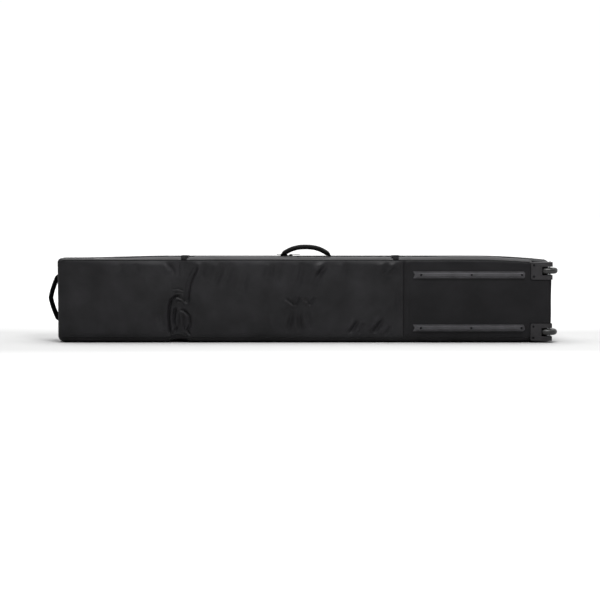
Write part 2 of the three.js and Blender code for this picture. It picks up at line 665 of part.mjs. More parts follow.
function handle(body, spec) {
  const steps = 16;
  const gripFrom = 2;
  const stations = hump(spec, steps);
  FOLDED_WIDTH.forEach((width, i) => {
    stations[i].width = width;
    stations[steps - i].width = width;
  });
  const web = flatSection(WEB_HALF.width, WEB_HALF.thickness);
  add(body, body + "_webbing", sweep(web, stations), look.webbing);
  const gripped = hump(spec, steps).slice(gripFrom, steps - gripFrom + 1);
  const sleeve = sweep(roundSection(...spec.grip), gripped);
  const around = flatSection(WEB_HALF.width + GAP, WEB_HALF.thickness + GAP);
  const slot = sweep(around, hump(spec, steps).slice(gripFrom - 1, steps - gripFrom + 2));
  add(body, body + "_sleeve", cut(sleeve, slot), look.webbing);
}

// ---- wheels ----
function wheel(side) {
  const z = wheelZ[side];
  const body = "wheel_" + side;
  const axis = [WHEEL.x, WHEEL.y];
  const half = WHEEL.halfWidth;
  const treadHalf = [
    [WHEEL.radius, 0],
    [33.2, 4.2],
    [30.8, 8],
    [27, 10.2],
    [19.3, 10.2],
  ];
  const mirrored = treadHalf.slice(1).map(([r, h]) => [r, -h]);
  add(body, "tyre_" + side, turned([...mirrored.reverse(), ...treadHalf], axis, z, 36), look.tyre);
  const core = [
    [11.3, -half],
    [19, -half],
    [19, half],
    [11.3, half],
    [11.3, 3.3],
    [6, 3.3],
    [6, -3.3],
    [11.3, -3.3],
  ];
  add(body, "hub_" + side, turned(core, axis, z), look.hub);
  const ring = [
    [4.15, 3.6],
    [11, 3.6],
    [11, 10.8],
    [9, 10.8],
    [8.6, 10.4],
    [6.4, 10.4],
    [6, 10.8],
    [4.15, 10.8],
  ];
  const flipped = ring.map(([r, h]) => [r, -h]).reverse();
  add(body, "bearing_top_" + side, turned(ring, axis, z), look.steel);
  add(body, "bearing_bottom_" + side, turned(flipped, axis, z), look.steel);
  const cheek = WELL.halfWidth + WELL.wall + GAP;
  const rivet = [
    [0, -cheek - 3],
    [6, -cheek - 3],
    [7, -cheek - 2],
    [7, -cheek],
    [AXLE_RADIUS, -cheek],
    [AXLE_RADIUS, cheek],
    [7, cheek],
    [7, cheek + 2],
    [6, cheek + 3],
    [0, cheek + 3],
  ];
  add("bag", "axle_" + side, turned(rivet, axis, z, 20), look.steel);
}

function wheelEnd() {
  for (const [side, up] of [["upper", 1], ["lower", -1]]) {
    const z = wheelZ[side];
    add("bag", "wheel_housing_" + side, housing(z, up), look.plastic);
    [-1, 1].forEach((s, i) => {
      const at = [HOUSING_SCREW.x, z + s * HOUSING_SCREW.spread];
      const length = SHANK_END - PLATE_Y;
      add("bag", `housing_screw_${side}_${i + 1}`, screw(at, PLATE_Y, length), look.steel);
    });
    add("bag", "skid_rail_" + side, skidRail(railZ[side]), look.plastic);
    RAIL_SCREW_XS.forEach((x, i) => {
      const length = SHANK_END - RAIL_SCREW_Y;
      add("bag", `rail_screw_${side}_${i + 1}`, screw([x, railZ[side]], RAIL_SCREW_Y, length), look.steel);
    });
    wheel(side);
  }
}

fabricShell();
padding();
lining();
lid();
zip();
straps();
handle("side_handle", SIDE_HANDLE);
handle("nose_handle", NOSE_HANDLE);
wheelEnd();

export default bag;
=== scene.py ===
"""A wheeled padded snowboard bag, standing on its narrow side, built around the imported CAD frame.

Metres, +Z up, +X towards the wheels, -Y towards the base face with its skid rails.
"""

import math

import bmesh
import bpy
import numpy as np
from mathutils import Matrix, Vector


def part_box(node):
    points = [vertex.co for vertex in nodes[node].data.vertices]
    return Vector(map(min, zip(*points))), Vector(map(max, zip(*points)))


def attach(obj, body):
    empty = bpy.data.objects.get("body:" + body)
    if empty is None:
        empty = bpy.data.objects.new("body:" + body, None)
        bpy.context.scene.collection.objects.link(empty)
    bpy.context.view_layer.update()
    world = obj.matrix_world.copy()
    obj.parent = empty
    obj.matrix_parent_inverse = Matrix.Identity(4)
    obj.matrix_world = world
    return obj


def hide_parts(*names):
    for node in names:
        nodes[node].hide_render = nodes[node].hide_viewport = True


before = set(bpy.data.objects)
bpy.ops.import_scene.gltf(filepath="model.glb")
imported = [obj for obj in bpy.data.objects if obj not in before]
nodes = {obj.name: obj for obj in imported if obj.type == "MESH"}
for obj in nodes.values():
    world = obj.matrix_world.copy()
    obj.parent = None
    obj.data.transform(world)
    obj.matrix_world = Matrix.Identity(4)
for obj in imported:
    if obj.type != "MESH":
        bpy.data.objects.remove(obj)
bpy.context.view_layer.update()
MM = 0.001

# ---------------------------------------------------------------- sizes read from the frame
NOSE_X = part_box("end_panel_nose")[0].x
TAIL_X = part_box("end_panel_wheel_end")[1].x
TOP_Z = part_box("side_panel_upper")[1].z
TAIL_TOP_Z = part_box("wheel_housing_upper")[1].z + 1 * MM
TAIL_LOW_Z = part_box("wheel_housing_lower")[0].z
BASE_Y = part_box("base_panel")[0].y
LID_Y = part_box("lid_panel")[1].y
SEAM_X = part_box("base_panel")[1].x
BAG_ZIP_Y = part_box("zip_half_bag")[1].y
LID_ZIP_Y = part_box("zip_half_lid")[0].y
ZIP_Y = (BAG_ZIP_Y + LID_ZIP_Y) / 2
ZIP_REACH = BAG_ZIP_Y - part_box("zip_half_bag")[0].y
WALL_END_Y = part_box("side_panel_upper")[1].y
RIM_START_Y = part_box("lid_rim")[0].y
FOLD_X = (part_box("base_pad_nose")[1].x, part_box("base_pad_middle")[0].x)
STRAP_X = [(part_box(n)[0].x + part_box(n)[1].x) / 2 for n in ("strap_nose", "strap_wheel")]
HOUSINGS = [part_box("wheel_housing_upper"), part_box("wheel_housing_lower")]
RAILS = [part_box("skid_rail_upper"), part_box("skid_rail_lower")]

NOSE_ZIP_Z = 42 * MM
TAIL_ZIP_Z = 27 * MM
NOSE_TOP_RADIUS = 15 * MM
NOSE_LOW_RADIUS = 23 * MM
TAIL_RADIUS = 18 * MM
TAPER_START = 0.60
RISE_START = 0.74
TOP_SEAM_INSET = 7 * MM
LOW_SEAM_INSET = 17 * MM
NOSE_SEAM_INSET = 2 * MM
TAIL_SEAM_INSET = 6 * MM
LID_SEAM_INSET = 11 * MM
SEAM_DROP = 4 * MM  # how far the base seam sits back from the face
NOSE_DROP = 13 * MM  # and at the nose, where the face turns the corner
NOSE_TURN = 11 * MM  # how quickly it turns there
FOLD_LIFT = 11 * MM  # how far the folding band arches off the floor
PIPING_RADIUS = 1.4 * MM
FABRIC = 1.6 * MM
LINING_CLOTH = 0.8 * MM
MIDDLE_Z = 0.15  # between the upper and the lower half of the bag
NOSE_SAG = 9 * MM  # how far the lid's edge settles below the base's edge at the nose
PAD_DEPTH = 5.5 * MM  # wall foam
PAD_CLEAR = 2.6 * MM  # from the fabric's outer face to the foam
LINING_CLEAR = 9.2 * MM  # from the fabric's outer face to the lining
LID_PAD_DEPTH = 7 * MM
STEP = 4 * MM


# ---------------------------------------------------------------- the outline, as stations
def station(x, z, nx, nz, part):
    return (x, z, nx, nz, part)


def arc(cx, cz, radius, a0, a1, part, steps=10):
    angles = np.radians(np.linspace(a0, a1, steps + 1))
    return [station(cx + radius * math.cos(a), cz + radius * math.sin(a), math.cos(a), math.sin(a), part)
            for a in angles]


def side_point(x, start, change, level, up, part):
    """A point on a long side, which curves in towards the wheel end."""
    span = TAIL_X - TAIL_RADIUS - start
    t = max(0.0, (x - start) / span)
    slope = 2 * change * t / span
    length = math.hypot(slope, 1)
    return station(x, level + change * t * t, -slope * up / length, up / length, part)


def build_outline():
    """Stations all round the bag, from the lower nose corner over the top to the lower wheel end."""
    tail_side_x = TAIL_X - TAIL_RADIUS
    low = arc(NOSE_X + NOSE_LOW_RADIUS, NOSE_LOW_RADIUS, NOSE_LOW_RADIUS, 270, 180, "nose")
    nose = [station(NOSE_X, z, -1, 0, "nose")
            for z in np.arange(NOSE_LOW_RADIUS + STEP, TOP_Z - NOSE_TOP_RADIUS, STEP)]
    top = arc(NOSE_X + NOSE_TOP_RADIUS, TOP_Z - NOSE_TOP_RADIUS, NOSE_TOP_RADIUS, 180, 90, "nose")
    xs = np.arange(NOSE_X + NOSE_TOP_RADIUS + STEP, tail_side_x, STEP)
    upper = [side_point(x, TAPER_START, TAIL_TOP_Z - TOP_Z, TOP_Z, 1, "upper") for x in xs]
    tail_top = arc(tail_side_x, TAIL_TOP_Z - TAIL_RADIUS, TAIL_RADIUS, 84, 0, "tail")
    tail = [station(TAIL_X, z, 1, 0, "tail")
            for z in np.arange(TAIL_TOP_Z - TAIL_RADIUS - STEP, TAIL_LOW_Z + TAIL_RADIUS, -STEP)]
    tail_low = arc(tail_side_x, TAIL_LOW_Z + TAIL_RADIUS, TAIL_RADIUS, 0, -84, "tail")
    xs = np.arange(tail_side_x - STEP, NOSE_X + NOSE_LOW_RADIUS, -STEP)
    lower = [side_point(x, RISE_START, TAIL_LOW_Z, 0, -1, "lower") for x in xs]
    return low + nose + top + upper + tail_top + tail + tail_low + lower


OUTLINE = build_outline()
PART = np.array([s[4] for s in OUTLINE])
RING = np.array([s[:4] for s in OUTLINE], float)


def smooth_step(t):
    t = np.clip(t, 0, 1)
    return t * t * (3 - 2 * t)


def bump(distance, width):
    return np.exp(-(distance / width) ** 2)


# ---------------------------------------------------------------- folds and creases
def fold_line(x, z, points, depth, width, lean=0.6, fade=0.14):
    """A valley along a bent line, with a soft ridge on one side, fading out at both ends."""
    points = np.array(points, float)
    steps = np.diff(points, axis=0)
    lengths = np.hypot(steps[:, 0], steps[:, 1])
    nearest = np.full(x.shape, 9.0)
    across = np.zeros(x.shape)
    along = np.zeros(x.shape)
    passed = 0.0
    for start, step, length in zip(points[:-1], steps, lengths):
        t = np.clip(((x - start[0]) * step[0] + (z - start[1]) * step[1]) / length**2, 0, 1)
        dx, dz = x - start[0] - t * step[0], z - start[1] - t * step[1]
        distance = np.hypot(dx, dz)
        closer = distance < nearest
        nearest = np.where(closer, distance, nearest)
        across = np.where(closer, np.sign(dx * step[1] - dz * step[0]) * distance, across)
        along = np.where(closer, (passed + t * length) / lengths.sum(), along)
        passed += length
    ends = smooth_step(along / fade) * smooth_step((1 - along) / fade)
    return depth * ends * (lean * bump(across - 1.9 * width, 1.3 * width) - bump(nearest, width))


def value_noise(x, z, scale_x, scale_z, seed):
    """Smooth noise between -1 and 1 on a seeded lattice."""
    rng = np.random.default_rng(seed)
    table = rng.uniform(-1, 1, (256, 256))
    u, v = x / scale_x + 91.3, z / scale_z + 47.7
    i, j = np.floor(u).astype(int), np.floor(v).astype(int)
    fu, fv = smooth_step(u - i), smooth_step(v - j)

    def at(p, q):
        return table[p % 256, q % 256]

    low = at(i, j) * (1 - fu) + at(i + 1, j) * fu
    high = at(i, j + 1) * (1 - fu) + at(i + 1, j + 1) * fu
    return low * (1 - fv) + high * fv


def between(x, low, high, soft):
    return smooth_step((x - low) / soft) * smooth_step((high - x) / soft)


FOLD_STRENGTH = 1.35
BROAD_FOLD = 5.9  # folds wider than this fade out slowly at their ends
SHARP_FADE, BROAD_FADE = 0.14, 0.4
# Folds of the base face: the line in (x, z), its depth and half width in mm, and how high its ridge stands.
FOLDS = [
    # the folding band: one long slanting fold, an arched one beside it and small ones between them
    ([(-0.374, 0.280), (-0.383, 0.254), (-0.397, 0.229), (-0.406, 0.204), (-0.410, 0.172),
      (-0.414, 0.134)], 7.5, 4.6, -0.7),
    ([(-0.474, 0.020), (-0.479, 0.064), (-0.481, 0.096), (-0.478, 0.128), (-0.471, 0.152), (-0.456, 0.165),
      (-0.430, 0.167)], 6.0, 4.2, 0.7),
    ([(-0.456, 0.130), (-0.461, 0.102), (-0.463, 0.076), (-0.456, 0.050), (-0.468, 0.022)], 5.0, 4.0, 0.6),
    ([(-0.447, 0.116), (-0.427, 0.115), (-0.408, 0.096), (-0.404, 0.064), (-0.416, 0.044),
      (-0.400, 0.020)], 5.0, 4.0, 0.6),
    ([(-0.442, 0.110), (-0.448, 0.070), (-0.458, 0.036)], 3.0, 3.6, 0.5),
    ([(-0.432, 0.110), (-0.429, 0.070), (-0.424, 0.034)], 3.0, 3.6, 0.5),
    ([(-0.470, 0.189), (-0.448, 0.192), (-0.424, 0.183)], 2.4, 3.2, 0.5),
    ([(-0.464, 0.178), (-0.444, 0.180), (-0.424, 0.174)], 2.0, 3.0, 0.5),
    ([(-0.452, 0.160), (-0.434, 0.156), (-0.415, 0.141)], 3.4, 3.4, 0.6),
    ([(-0.452, 0.148), (-0.438, 0.146), (-0.424, 0.134)], 2.4, 3.2, 0.5),
    ([(-0.490, 0.292), (-0.478, 0.276), (-0.466, 0.258), (-0.462, 0.236)], 5.4, 7.5, 0.5),
    ([(-0.440, 0.288), (-0.444, 0.262), (-0.442, 0.230)], 2.0, 5.0, 0.5),
    # folds that hang from the upper seam of the middle panel
    ([(-0.350, 0.290), (-0.360, 0.262), (-0.362, 0.222)], 4.7, 10.0, 0.6),
    ([(-0.290, 0.290), (-0.296, 0.250), (-0.320, 0.196)], 4.7, 10.0, 0.7),
    ([(-0.252, 0.290), (-0.262, 0.256), (-0.290, 0.170)], 3.2, 11.2, 0.6),
    ([(-0.205, 0.290), (-0.209, 0.240), (-0.222, 0.150)], 4.0, 12.5, 0.6),
    ([(-0.110, 0.290), (-0.114, 0.250), (-0.124, 0.214)], 4.3, 8.8, 0.6),
    ([(-0.076, 0.290), (-0.090, 0.256), (-0.102, 0.190)], 2.9, 10.0, 0.6),
    ([(-0.004, 0.290), (-0.014, 0.240), (-0.030, 0.176)], 4.7, 10.0, 0.6),
    ([(0.090, 0.288), (0.060, 0.252), (0.030, 0.226)], 5.0, 9.4, 0.7),
    ([(0.076, 0.284), (0.052, 0.240), (0.020, 0.180)], 4.0, 10.0, 0.6),
    ([(0.150, 0.290), (0.146, 0.262), (0.130, 0.232)], 3.2, 10.0, 0.6),
    # the pinch in the middle, with folds falling from it
    ([(-0.066, 0.158), (-0.052, 0.146), (-0.036, 0.134)], 3.4, 4.6, 0.7),
    ([(-0.016, 0.162), (-0.026, 0.146), (-0.034, 0.132)], 3.0, 4.4, 0.6),
    ([(-0.004, 0.160), (0.010, 0.146), (0.018, 0.134)], 2.6, 4.4, 0.6),
    ([(0.038, 0.162), (0.026, 0.146), (0.016, 0.132)], 2.8, 4.4, 0.6),
    ([(-0.040, 0.130), (-0.046, 0.090), (-0.062, 0.030)], 4.7, 8.8, 0.7),
    ([(-0.014, 0.128), (-0.018, 0.090), (-0.014, 0.030)], 4.7, 8.8, 0.6),
    ([(0.014, 0.130), (0.012, 0.090), (0.022, 0.040)], 4.0, 8.8, 0.6),
    ([(-0.090, 0.120), (-0.100, 0.080), (-0.096, 0.030)], 2.9, 11.2, 0.6),
    # slanting creases low on the right
    ([(0.194, 0.088), (0.178, 0.058), (0.152, 0.024)], 6.1, 7.5, 0.7),
    ([(0.212, 0.072), (0.200, 0.050), (0.190, 0.030)], 2.4, 5.0, 0.6),
    ([(0.284, 0.094), (0.262, 0.060), (0.234, 0.024)], 6.5, 8.1, 0.7),
    ([(0.306, 0.062), (0.296, 0.044), (0.276, 0.022)], 2.4, 5.0, 0.6),
    ([(0.340, 0.282), (0.316, 0.256), (0.286, 0.226)], 4.3, 8.8, 0.7),
    ([(0.300, 0.284), (0.282, 0.262), (0.262, 0.236)], 3.2, 8.8, 0.6),
    ([(0.336, 0.222), (0.330, 0.150), (0.336, 0.080)], 3.2, 10.0, 0.6),
    # slight drag lines on the padded nose
    ([(-0.848, 0.226), (-0.800, 0.212), (-0.760, 0.204)], 1.8, 15.0, 0.5),
    ([(-0.640, 0.280), (-0.646, 0.262), (-0.660, 0.240)], 2.5, 10.0, 0.5),
    ([(-0.600, 0.284), (-0.590, 0.262), (-0.584, 0.240)], 2.5, 10.0, 0.5),
    ([(-0.548, 0.270), (-0.530, 0.220), (-0.520, 0.170)], 2.5, 15.0, 0.5),
    ([(-0.514, 0.120), (-0.506, 0.080), (-0.498, 0.040)], 2.9, 10.0, 0.5),
]


def base_relief(x, z):
    """How far the base face stands out of its flat plane."""
    in_fold = between(x, FOLD_X[0] - 0.014, FOLD_X[1] + 0.014, 0.03)
    d = 0.0 * x
    # quilted fullness of the padded panels, flatter at the reinforced wheel end
    d += 2.5 * MM * between(x, NOSE_X, FOLD_X[0] + 0.01, 0.06)
    d += 2.0 * MM * between(x, FOLD_X[1], SEAM_X, 0.06)
    d -= 2.5 * MM * in_fold
    plain = 1 - between(x, SEAM_X - 0.02, 1, 0.03)
    d += 2.2 * MM * value_noise(x, z, 0.16, 0.11, 3) * plain
    d += 0.9 * MM * value_noise(x, z, 0.07, 0.08, 5) * plain
    d += 0.7 * MM * value_noise(x, z, 0.03, 0.06, 4) * between(x, FOLD_X[0], SEAM_X, 0.05)
    # the folding band: one deep fold, long creases and small arches
    for points, depth, width, lean in FOLDS:
        fade = SHARP_FADE if width < BROAD_FOLD else BROAD_FADE
        d += fold_line(x, z, points, FOLD_STRENGTH * depth * MM, width * MM, lean, fade)
    d += 0.9 * MM * value_noise(x, z, 0.012, 0.05, 6) * in_fold
    d += 0.6 * MM * value_noise(x + 0.3 * z, z, 0.010, 0.022, 7) * in_fold
    # sewn seam between the plain fabric and the reinforced wheel end
    d -= 3.0 * MM * bump(x - SEAM_X, 0.004)
    d += 2.0 * MM * bump(x - SEAM_X - 0.014, 0.006)
    # the wheel end is held flat by its board, and lies back under the rails and the housings
    flat = between(x, SEAM_X + 0.02, 1, 0.04)
    d = d * (1 - 0.75 * flat)
    for low, high in RAILS:
        under = between(x, low.x - 0.01, high.x + 0.01, 0.02)
        under = under * between(z, low.z - 0.008, high.z + 0.008, 0.012)
        d = d * (1 - under) - 0.6 * MM * under
    return d


def edge_inset(nx, nz):
    """How far the base seam lies inside the widest outline: least at the top, where the bag hangs."""
    up = np.clip(nz, 0, 1) ** 2
    down = np.clip(-nz, 0, 1) ** 2
    nose, tail = np.clip(-nx, 0, 1) ** 2, np.clip(nx, 0, 1) ** 2
    return TOP_SEAM_INSET * up + LOW_SEAM_INSET * down + NOSE_SEAM_INSET * nose + TAIL_SEAM_INSET * tail


def fold_lift(x, nz):
    """The lower side and its seam arch off the floor at the folding band."""
    middle, half = -0.445, 0.036
    arch = np.clip(1 - ((x - middle) / half) ** 2, 0, 1) ** 0.7
    return FOLD_LIFT * arch * np.clip(-nz, 0, 1)


def side_relief(x, z, nx, nz, y):
    """How far the sides stand out of the plain outline. Nothing stands out under the zip's tape."""
    d = 1.5 * MM * np.sin(np.pi * np.clip((y - BASE_Y) / 0.09, 0, 1)) ** 0.8
    d = d + 1.2 * MM * value_noise(x + 0.4 * z, y, 0.15, 0.06, 11)
    d = d + 0.7 * MM * value_noise(x + 0.7 * z, y, 0.040, 0.035, 12)
    above = nz > 0.5
    d = d + above * 3.0 * MM * between(x, -0.40, 0.02, 0.10)
    d = d - above * 3.0 * MM * between(x, -0.86, FOLD_X[0], 0.16)
    d = d + above * 3.0 * MM * between(x, 0.42, 0.74, 0.12)
    for sx in STRAP_X:
        d = d - above * 3.0 * MM * bump(x - sx, 0.022)
        d = d + above * 1.2 * MM * bump(x - sx - 0.040, 0.016)
        d = d + above * 1.0 * MM * bump(x - sx + 0.038, 0.015)
    fold = between(x, FOLD_X[0] - 0.01, FOLD_X[1] + 0.01, 0.03)
    d = d + fold * above * 1.3 * MM * value_noise(x, y, 0.013, 0.06, 13)
    free = smooth_step((ZIP_Y - ZIP_REACH - 3 * MM - y) / 0.02)
    free = free + smooth_step((y - ZIP_Y - ZIP_REACH - 1 * MM) / 0.01)
    d = np.where(nz < -0.5, np.minimum(d, 0.0), d * np.clip(free, 0, 1) - 0.3 * MM)
    return d


# ---------------------------------------------------------------- mesh making
def link(obj):
    bpy.context.scene.collection.objects.link(obj)
    return obj


def mesh_object(name, points, faces, smooth=True):
    mesh = bpy.data.meshes.new(name)
    mesh.from_pydata([tuple(p) for p in points], [], [tuple(f) for f in faces])
    mesh.update()
    obj = link(bpy.data.objects.new(name, mesh))
    mesh.polygons.foreach_set("use_smooth", [smooth] * len(mesh.polygons))
    return obj


def face_outward(obj):
    bm = bmesh.new()
    bm.from_mesh(obj.data)
    bmesh.ops.recalc_face_normals(bm, faces=bm.faces)
    bm.to_mesh(obj.data)
    bm.free()


def grid_object(name, points, keep=None, closed=False):
    """A sheet of quads from an array of points, leaving out the cells that keep says to."""
    rows, cols = points.shape[:2]
    index = np.arange(rows * cols).reshape(rows, cols)
    last = rows if closed else rows - 1
    faces = []
    for i in range(last):
        ni = (i + 1) % rows
        for j in range(cols - 1):
            if keep is None or keep[i, j]:
                faces.append((index[i, j], index[ni, j], index[ni, j + 1], index[i, j + 1]))
    used = sorted({v for f in faces for v in f})
    renumber = {v: k for k, v in enumerate(used)}
    flat = points.reshape(-1, 3)[used]
    return mesh_object(name, flat, [[renumber[v] for v in f] for f in faces])


def apply_modifiers(obj):
    bpy.context.view_layer.update()
    evaluated = obj.evaluated_get(bpy.context.evaluated_depsgraph_get())
    mesh = bpy.data.meshes.new_from_object(evaluated)
    obj.modifiers.clear()
    obj.data = mesh
    return obj


def thicken(obj, thickness, direction):
    """Turns a sheet into a closed skin that grows inwards, away from direction(centre)."""
    polygon = obj.data.polygons[len(obj.data.polygons) // 2]
    if Vector(polygon.normal).dot(Vector(direction(polygon.center))) < 0:
        obj.data.flip_normals()
    solid = obj.modifiers.new("skin", "SOLIDIFY")
    solid.thickness = thickness
    solid.offset = -1
    apply_modifiers(obj)
    obj.data.polygons.foreach_set("use_smooth", [True] * len(obj.data.polygons))
    return obj


def tube_along(name, points, radius, sides=8, closed=False):
    """A round tube along a row of points."""
    ahead = np.roll(points, -1, 0) - np.roll(points, 1, 0)
    if not closed:
        ahead[0], ahead[-1] = points[1] - points[0], points[-1] - points[-2]
    ahead /= np.linalg.norm(ahead, axis=1)[:, None]
    side = np.cross(ahead, (0.0, 1.0, 0.0))
    side /= np.linalg.norm(side, axis=1)[:, None]
    over = np.cross(side, ahead)
    turn = np.linspace(0, 2 * math.pi, sides, endpoint=False)
    rings = (points[:, None] + radius * np.cos(turn)[None, :, None] * over[:, None]
             + radius * np.sin(turn)[None, :, None] * side[:, None])
    return skin_rings(name, rings, closed)


def skin_rings(name, rings, closed=False):
    """A closed skin over rings of points, joined end to end when it is closed."""
    count, sides = rings.shape[:2]
    faces = []
    for i in range(count if closed else count - 1):
        n = (i + 1) % count
        for k in range(sides):
            m = (k + 1) % sides
            faces.append((i * sides + k, i * sides + m, n * sides + m, n * sides + k))
    if not closed:
        faces.append(tuple(range(sides)))
        faces.append(tuple(range((count - 1) * sides, count * sides))[::-1])
    obj = mesh_object(name, rings.reshape(-1, 3), faces)
    face_outward(obj)
    return obj


def settle(points):
    """The stuffed nose end leans back: its upper side falls towards the lid."""
    lean = smooth_step((-0.47 - points[:, 0]) / 0.36)
    lean = lean * np.clip((points[:, 1] - BASE_Y) / (LID_Y - BASE_Y), 0, 1)
    points[:, 2] -= NOSE_SAG * lean * smooth_step((points[:, 2] - 0.16) / 0.13)
    return points


def settle_mesh(obj):
    points = np.zeros(3 * len(obj.data.vertices))
    obj.data.vertices.foreach_get("co", points)
    obj.data.vertices.foreach_set("co", settle(points.reshape(-1, 3)).ravel())
    obj.data.update()


def closed_slab(name, outer, inner):
    """A closed pad between two grids of points of the same shape."""
    rows, cols = outer.shape[:2]
    index = np.arange(rows * cols).reshape(rows, cols)
    faces = []
    for i in range(rows - 1):
        for j in range(cols - 1):
            a, b, c, d = index[i, j], index[i + 1, j], index[i + 1, j + 1], index[i, j + 1]
            faces.append((a, b, c, d))
            faces.append(tuple(v + rows * cols for v in (d, c, b, a)))
    rim = list(index[:, 0]) + list(index[-1, 1:]) + list(index[-2::-1, -1]) + list(index[0, -2:0:-1])
    for a, b in zip(rim, rim[1:] + rim[:1]):
        faces.append((a, a + rows * cols, b + rows * cols, b))
    obj = mesh_object(name, np.concatenate([outer.reshape(-1, 3), inner.reshape(-1, 3)]), faces)
    face_outward(obj)
    return obj


def finish_piece(obj, body, look, replaces=(), settles=True):
    if settles:
        settle_mesh(obj)
    obj.data.materials.clear()
    obj.data.materials.append(look)
    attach(obj, body)
    if replaces:
        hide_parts(*replaces)
    return obj


# ---------------------------------------------------------------- materials
def new_material(name, color, roughness, metallic=0.0, sheen=0.0, specular=0.5):
    mat = bpy.data.materials.new(name)
    mat.use_nodes = True
    shader = mat.node_tree.nodes["Principled BSDF"]
    shader.inputs["Base Color"].default_value = (*color, 1)
    shader.inputs["Roughness"].default_value = roughness
    shader.inputs["Metallic"].default_value = metallic
    shader.inputs["Specular IOR Level"].default_value = specular
    shader.inputs["Sheen Weight"].default_value = sheen
    shader.inputs["Sheen Roughness"].default_value = 0.5
    return mat, mat.node_tree, shader


def node(tree, kind, **values):
    made = tree.nodes.new(kind)
    for key, value in values.items():
        if key in made.inputs:
            made.inputs[key].default_value = value
        else:
            setattr(made, key, value)
    return made


def mixed_color(tree, shader, factor, dark, light):
    ramp = node(tree, "ShaderNodeValToRGB")
    ramp.color_ramp.elements[0].color = (*dark, 1)
    ramp.color_ramp.elements[1].color = (*light, 1)
    ramp.color_ramp.elements[0].position = 0.3
    ramp.color_ramp.elements[1].position = 0.7
    tree.links.new(factor, ramp.inputs["Fac"])
    tree.links.new(ramp.outputs["Color"], shader.inputs["Base Color"])


def bump_chain(tree, shader, layers):
    """Bumps from several height outputs, each (socket, strength, distance)."""
    normal = None
    for height, strength, distance in layers:
        made = node(tree, "ShaderNodeBump", Strength=strength, Distance=distance)
        tree.links.new(height, made.inputs["Height"])
        if normal:
            tree.links.new(normal, made.inputs["Normal"])
        normal = made.outputs["Normal"]
    tree.links.new(normal, shader.inputs["Normal"])


def woven(name, color, roughness, pitch, sheen=0.0, strength=0.25, mottling=0.25, specular=0.22):
    """Plain-woven fabric: two crossed rows of threads, with slubs and a little colour variation."""
    mat, tree, shader = new_material(name, color, roughness, sheen=sheen, specular=specular)
    place = node(tree, "ShaderNodeTexCoord").outputs["Object"]
    rows = []
    for direction in ("X", "Z"):
        wave = node(tree, "ShaderNodeTexWave", Scale=1 / (pitch * 2), Distortion=0.6,
                    wave_type="BANDS", bands_direction=direction)
        wave.inputs["Detail Scale"].default_value = 2
        tree.links.new(place, wave.inputs["Vector"])
        rows.append(wave.outputs["Fac"])
    weave = node(tree, "ShaderNodeMath", operation="MULTIPLY")
    tree.links.new(rows[0], weave.inputs[0])
    tree.links.new(rows[1], weave.inputs[1])
    grain = node(tree, "ShaderNodeTexNoise", Scale=900, Detail=2)
    tree.links.new(place, grain.inputs["Vector"])
    patches = node(tree, "ShaderNodeTexNoise", Scale=9, Detail=4)
    tree.links.new(place, patches.inputs["Vector"])
    dark = [c * (1 - mottling) for c in color]
    light = [c * (1 + mottling) for c in color]
    mixed_color(tree, shader, patches.outputs["Fac"], dark, light)
    rough = node(tree, "ShaderNodeMapRange")
    rough.inputs["To Min"].default_value = roughness - 0.06
    rough.inputs["To Max"].default_value = roughness + 0.08
    tree.links.new(patches.outputs["Fac"], rough.inputs["Value"])
    tree.links.new(rough.outputs["Result"], shader.inputs["Roughness"])
    bump_chain(tree, shader, [(weave.outputs[0], strength, 0.0003), (grain.outputs["Fac"], strength, 0.0002)])
    return mat


def moulded(name, color, roughness, dots=0.0, specular=0.5):
    """Moulded plastic with a fine spark-eroded texture, lighter and darker in patches at random."""
    mat, tree, shader = new_material(name, color, roughness, specular=specular)
    place = node(tree, "ShaderNodeTexCoord").outputs["Object"]
    grain = node(tree, "ShaderNodeTexNoise", Scale=1500, Detail=3)
    tree.links.new(place, grain.inputs["Vector"])
    patches = node(tree, "ShaderNodeTexNoise", Scale=30, Detail=6)
    tree.links.new(place, patches.inputs["Vector"])
    mixed_color(tree, shader, patches.outputs["Fac"], [c * 0.8 for c in color], [c * 1.25 for c in color])
    layers = [(grain.outputs["Fac"], 0.25, 0.0002)]
    if dots:
        cells = node(tree, "ShaderNodeTexVoronoi", Scale=dots, Randomness=0.15)
        tree.links.new(place, cells.inputs["Vector"])
        layers.append((cells.outputs["Distance"], 0.5, 0.0006))
    bump_chain(tree, shader, layers)
    return mat


def metal(name, color, roughness):
    mat, tree, shader = new_material(name, color, roughness, metallic=1.0)
    place = node(tree, "ShaderNodeTexCoord").outputs["Object"]
    streaks = node(tree, "ShaderNodeTexNoise", Scale=700, Detail=4)
    tree.links.new(place, streaks.inputs["Vector"])
    rough = node(tree, "ShaderNodeMapRange")
    rough.inputs["To Min"].default_value = roughness * 0.7
    rough.inputs["To Max"].default_value = roughness * 1.4
    tree.links.new(streaks.outputs["Fac"], rough.inputs["Value"])
    tree.links.new(rough.outputs["Result"], shader.inputs["Roughness"])
    dark, light = [c * 0.85 for c in color], [min(c * 1.1, 1) for c in color]
    mixed_color(tree, shader, streaks.outputs["Fac"], dark, light)
    return mat


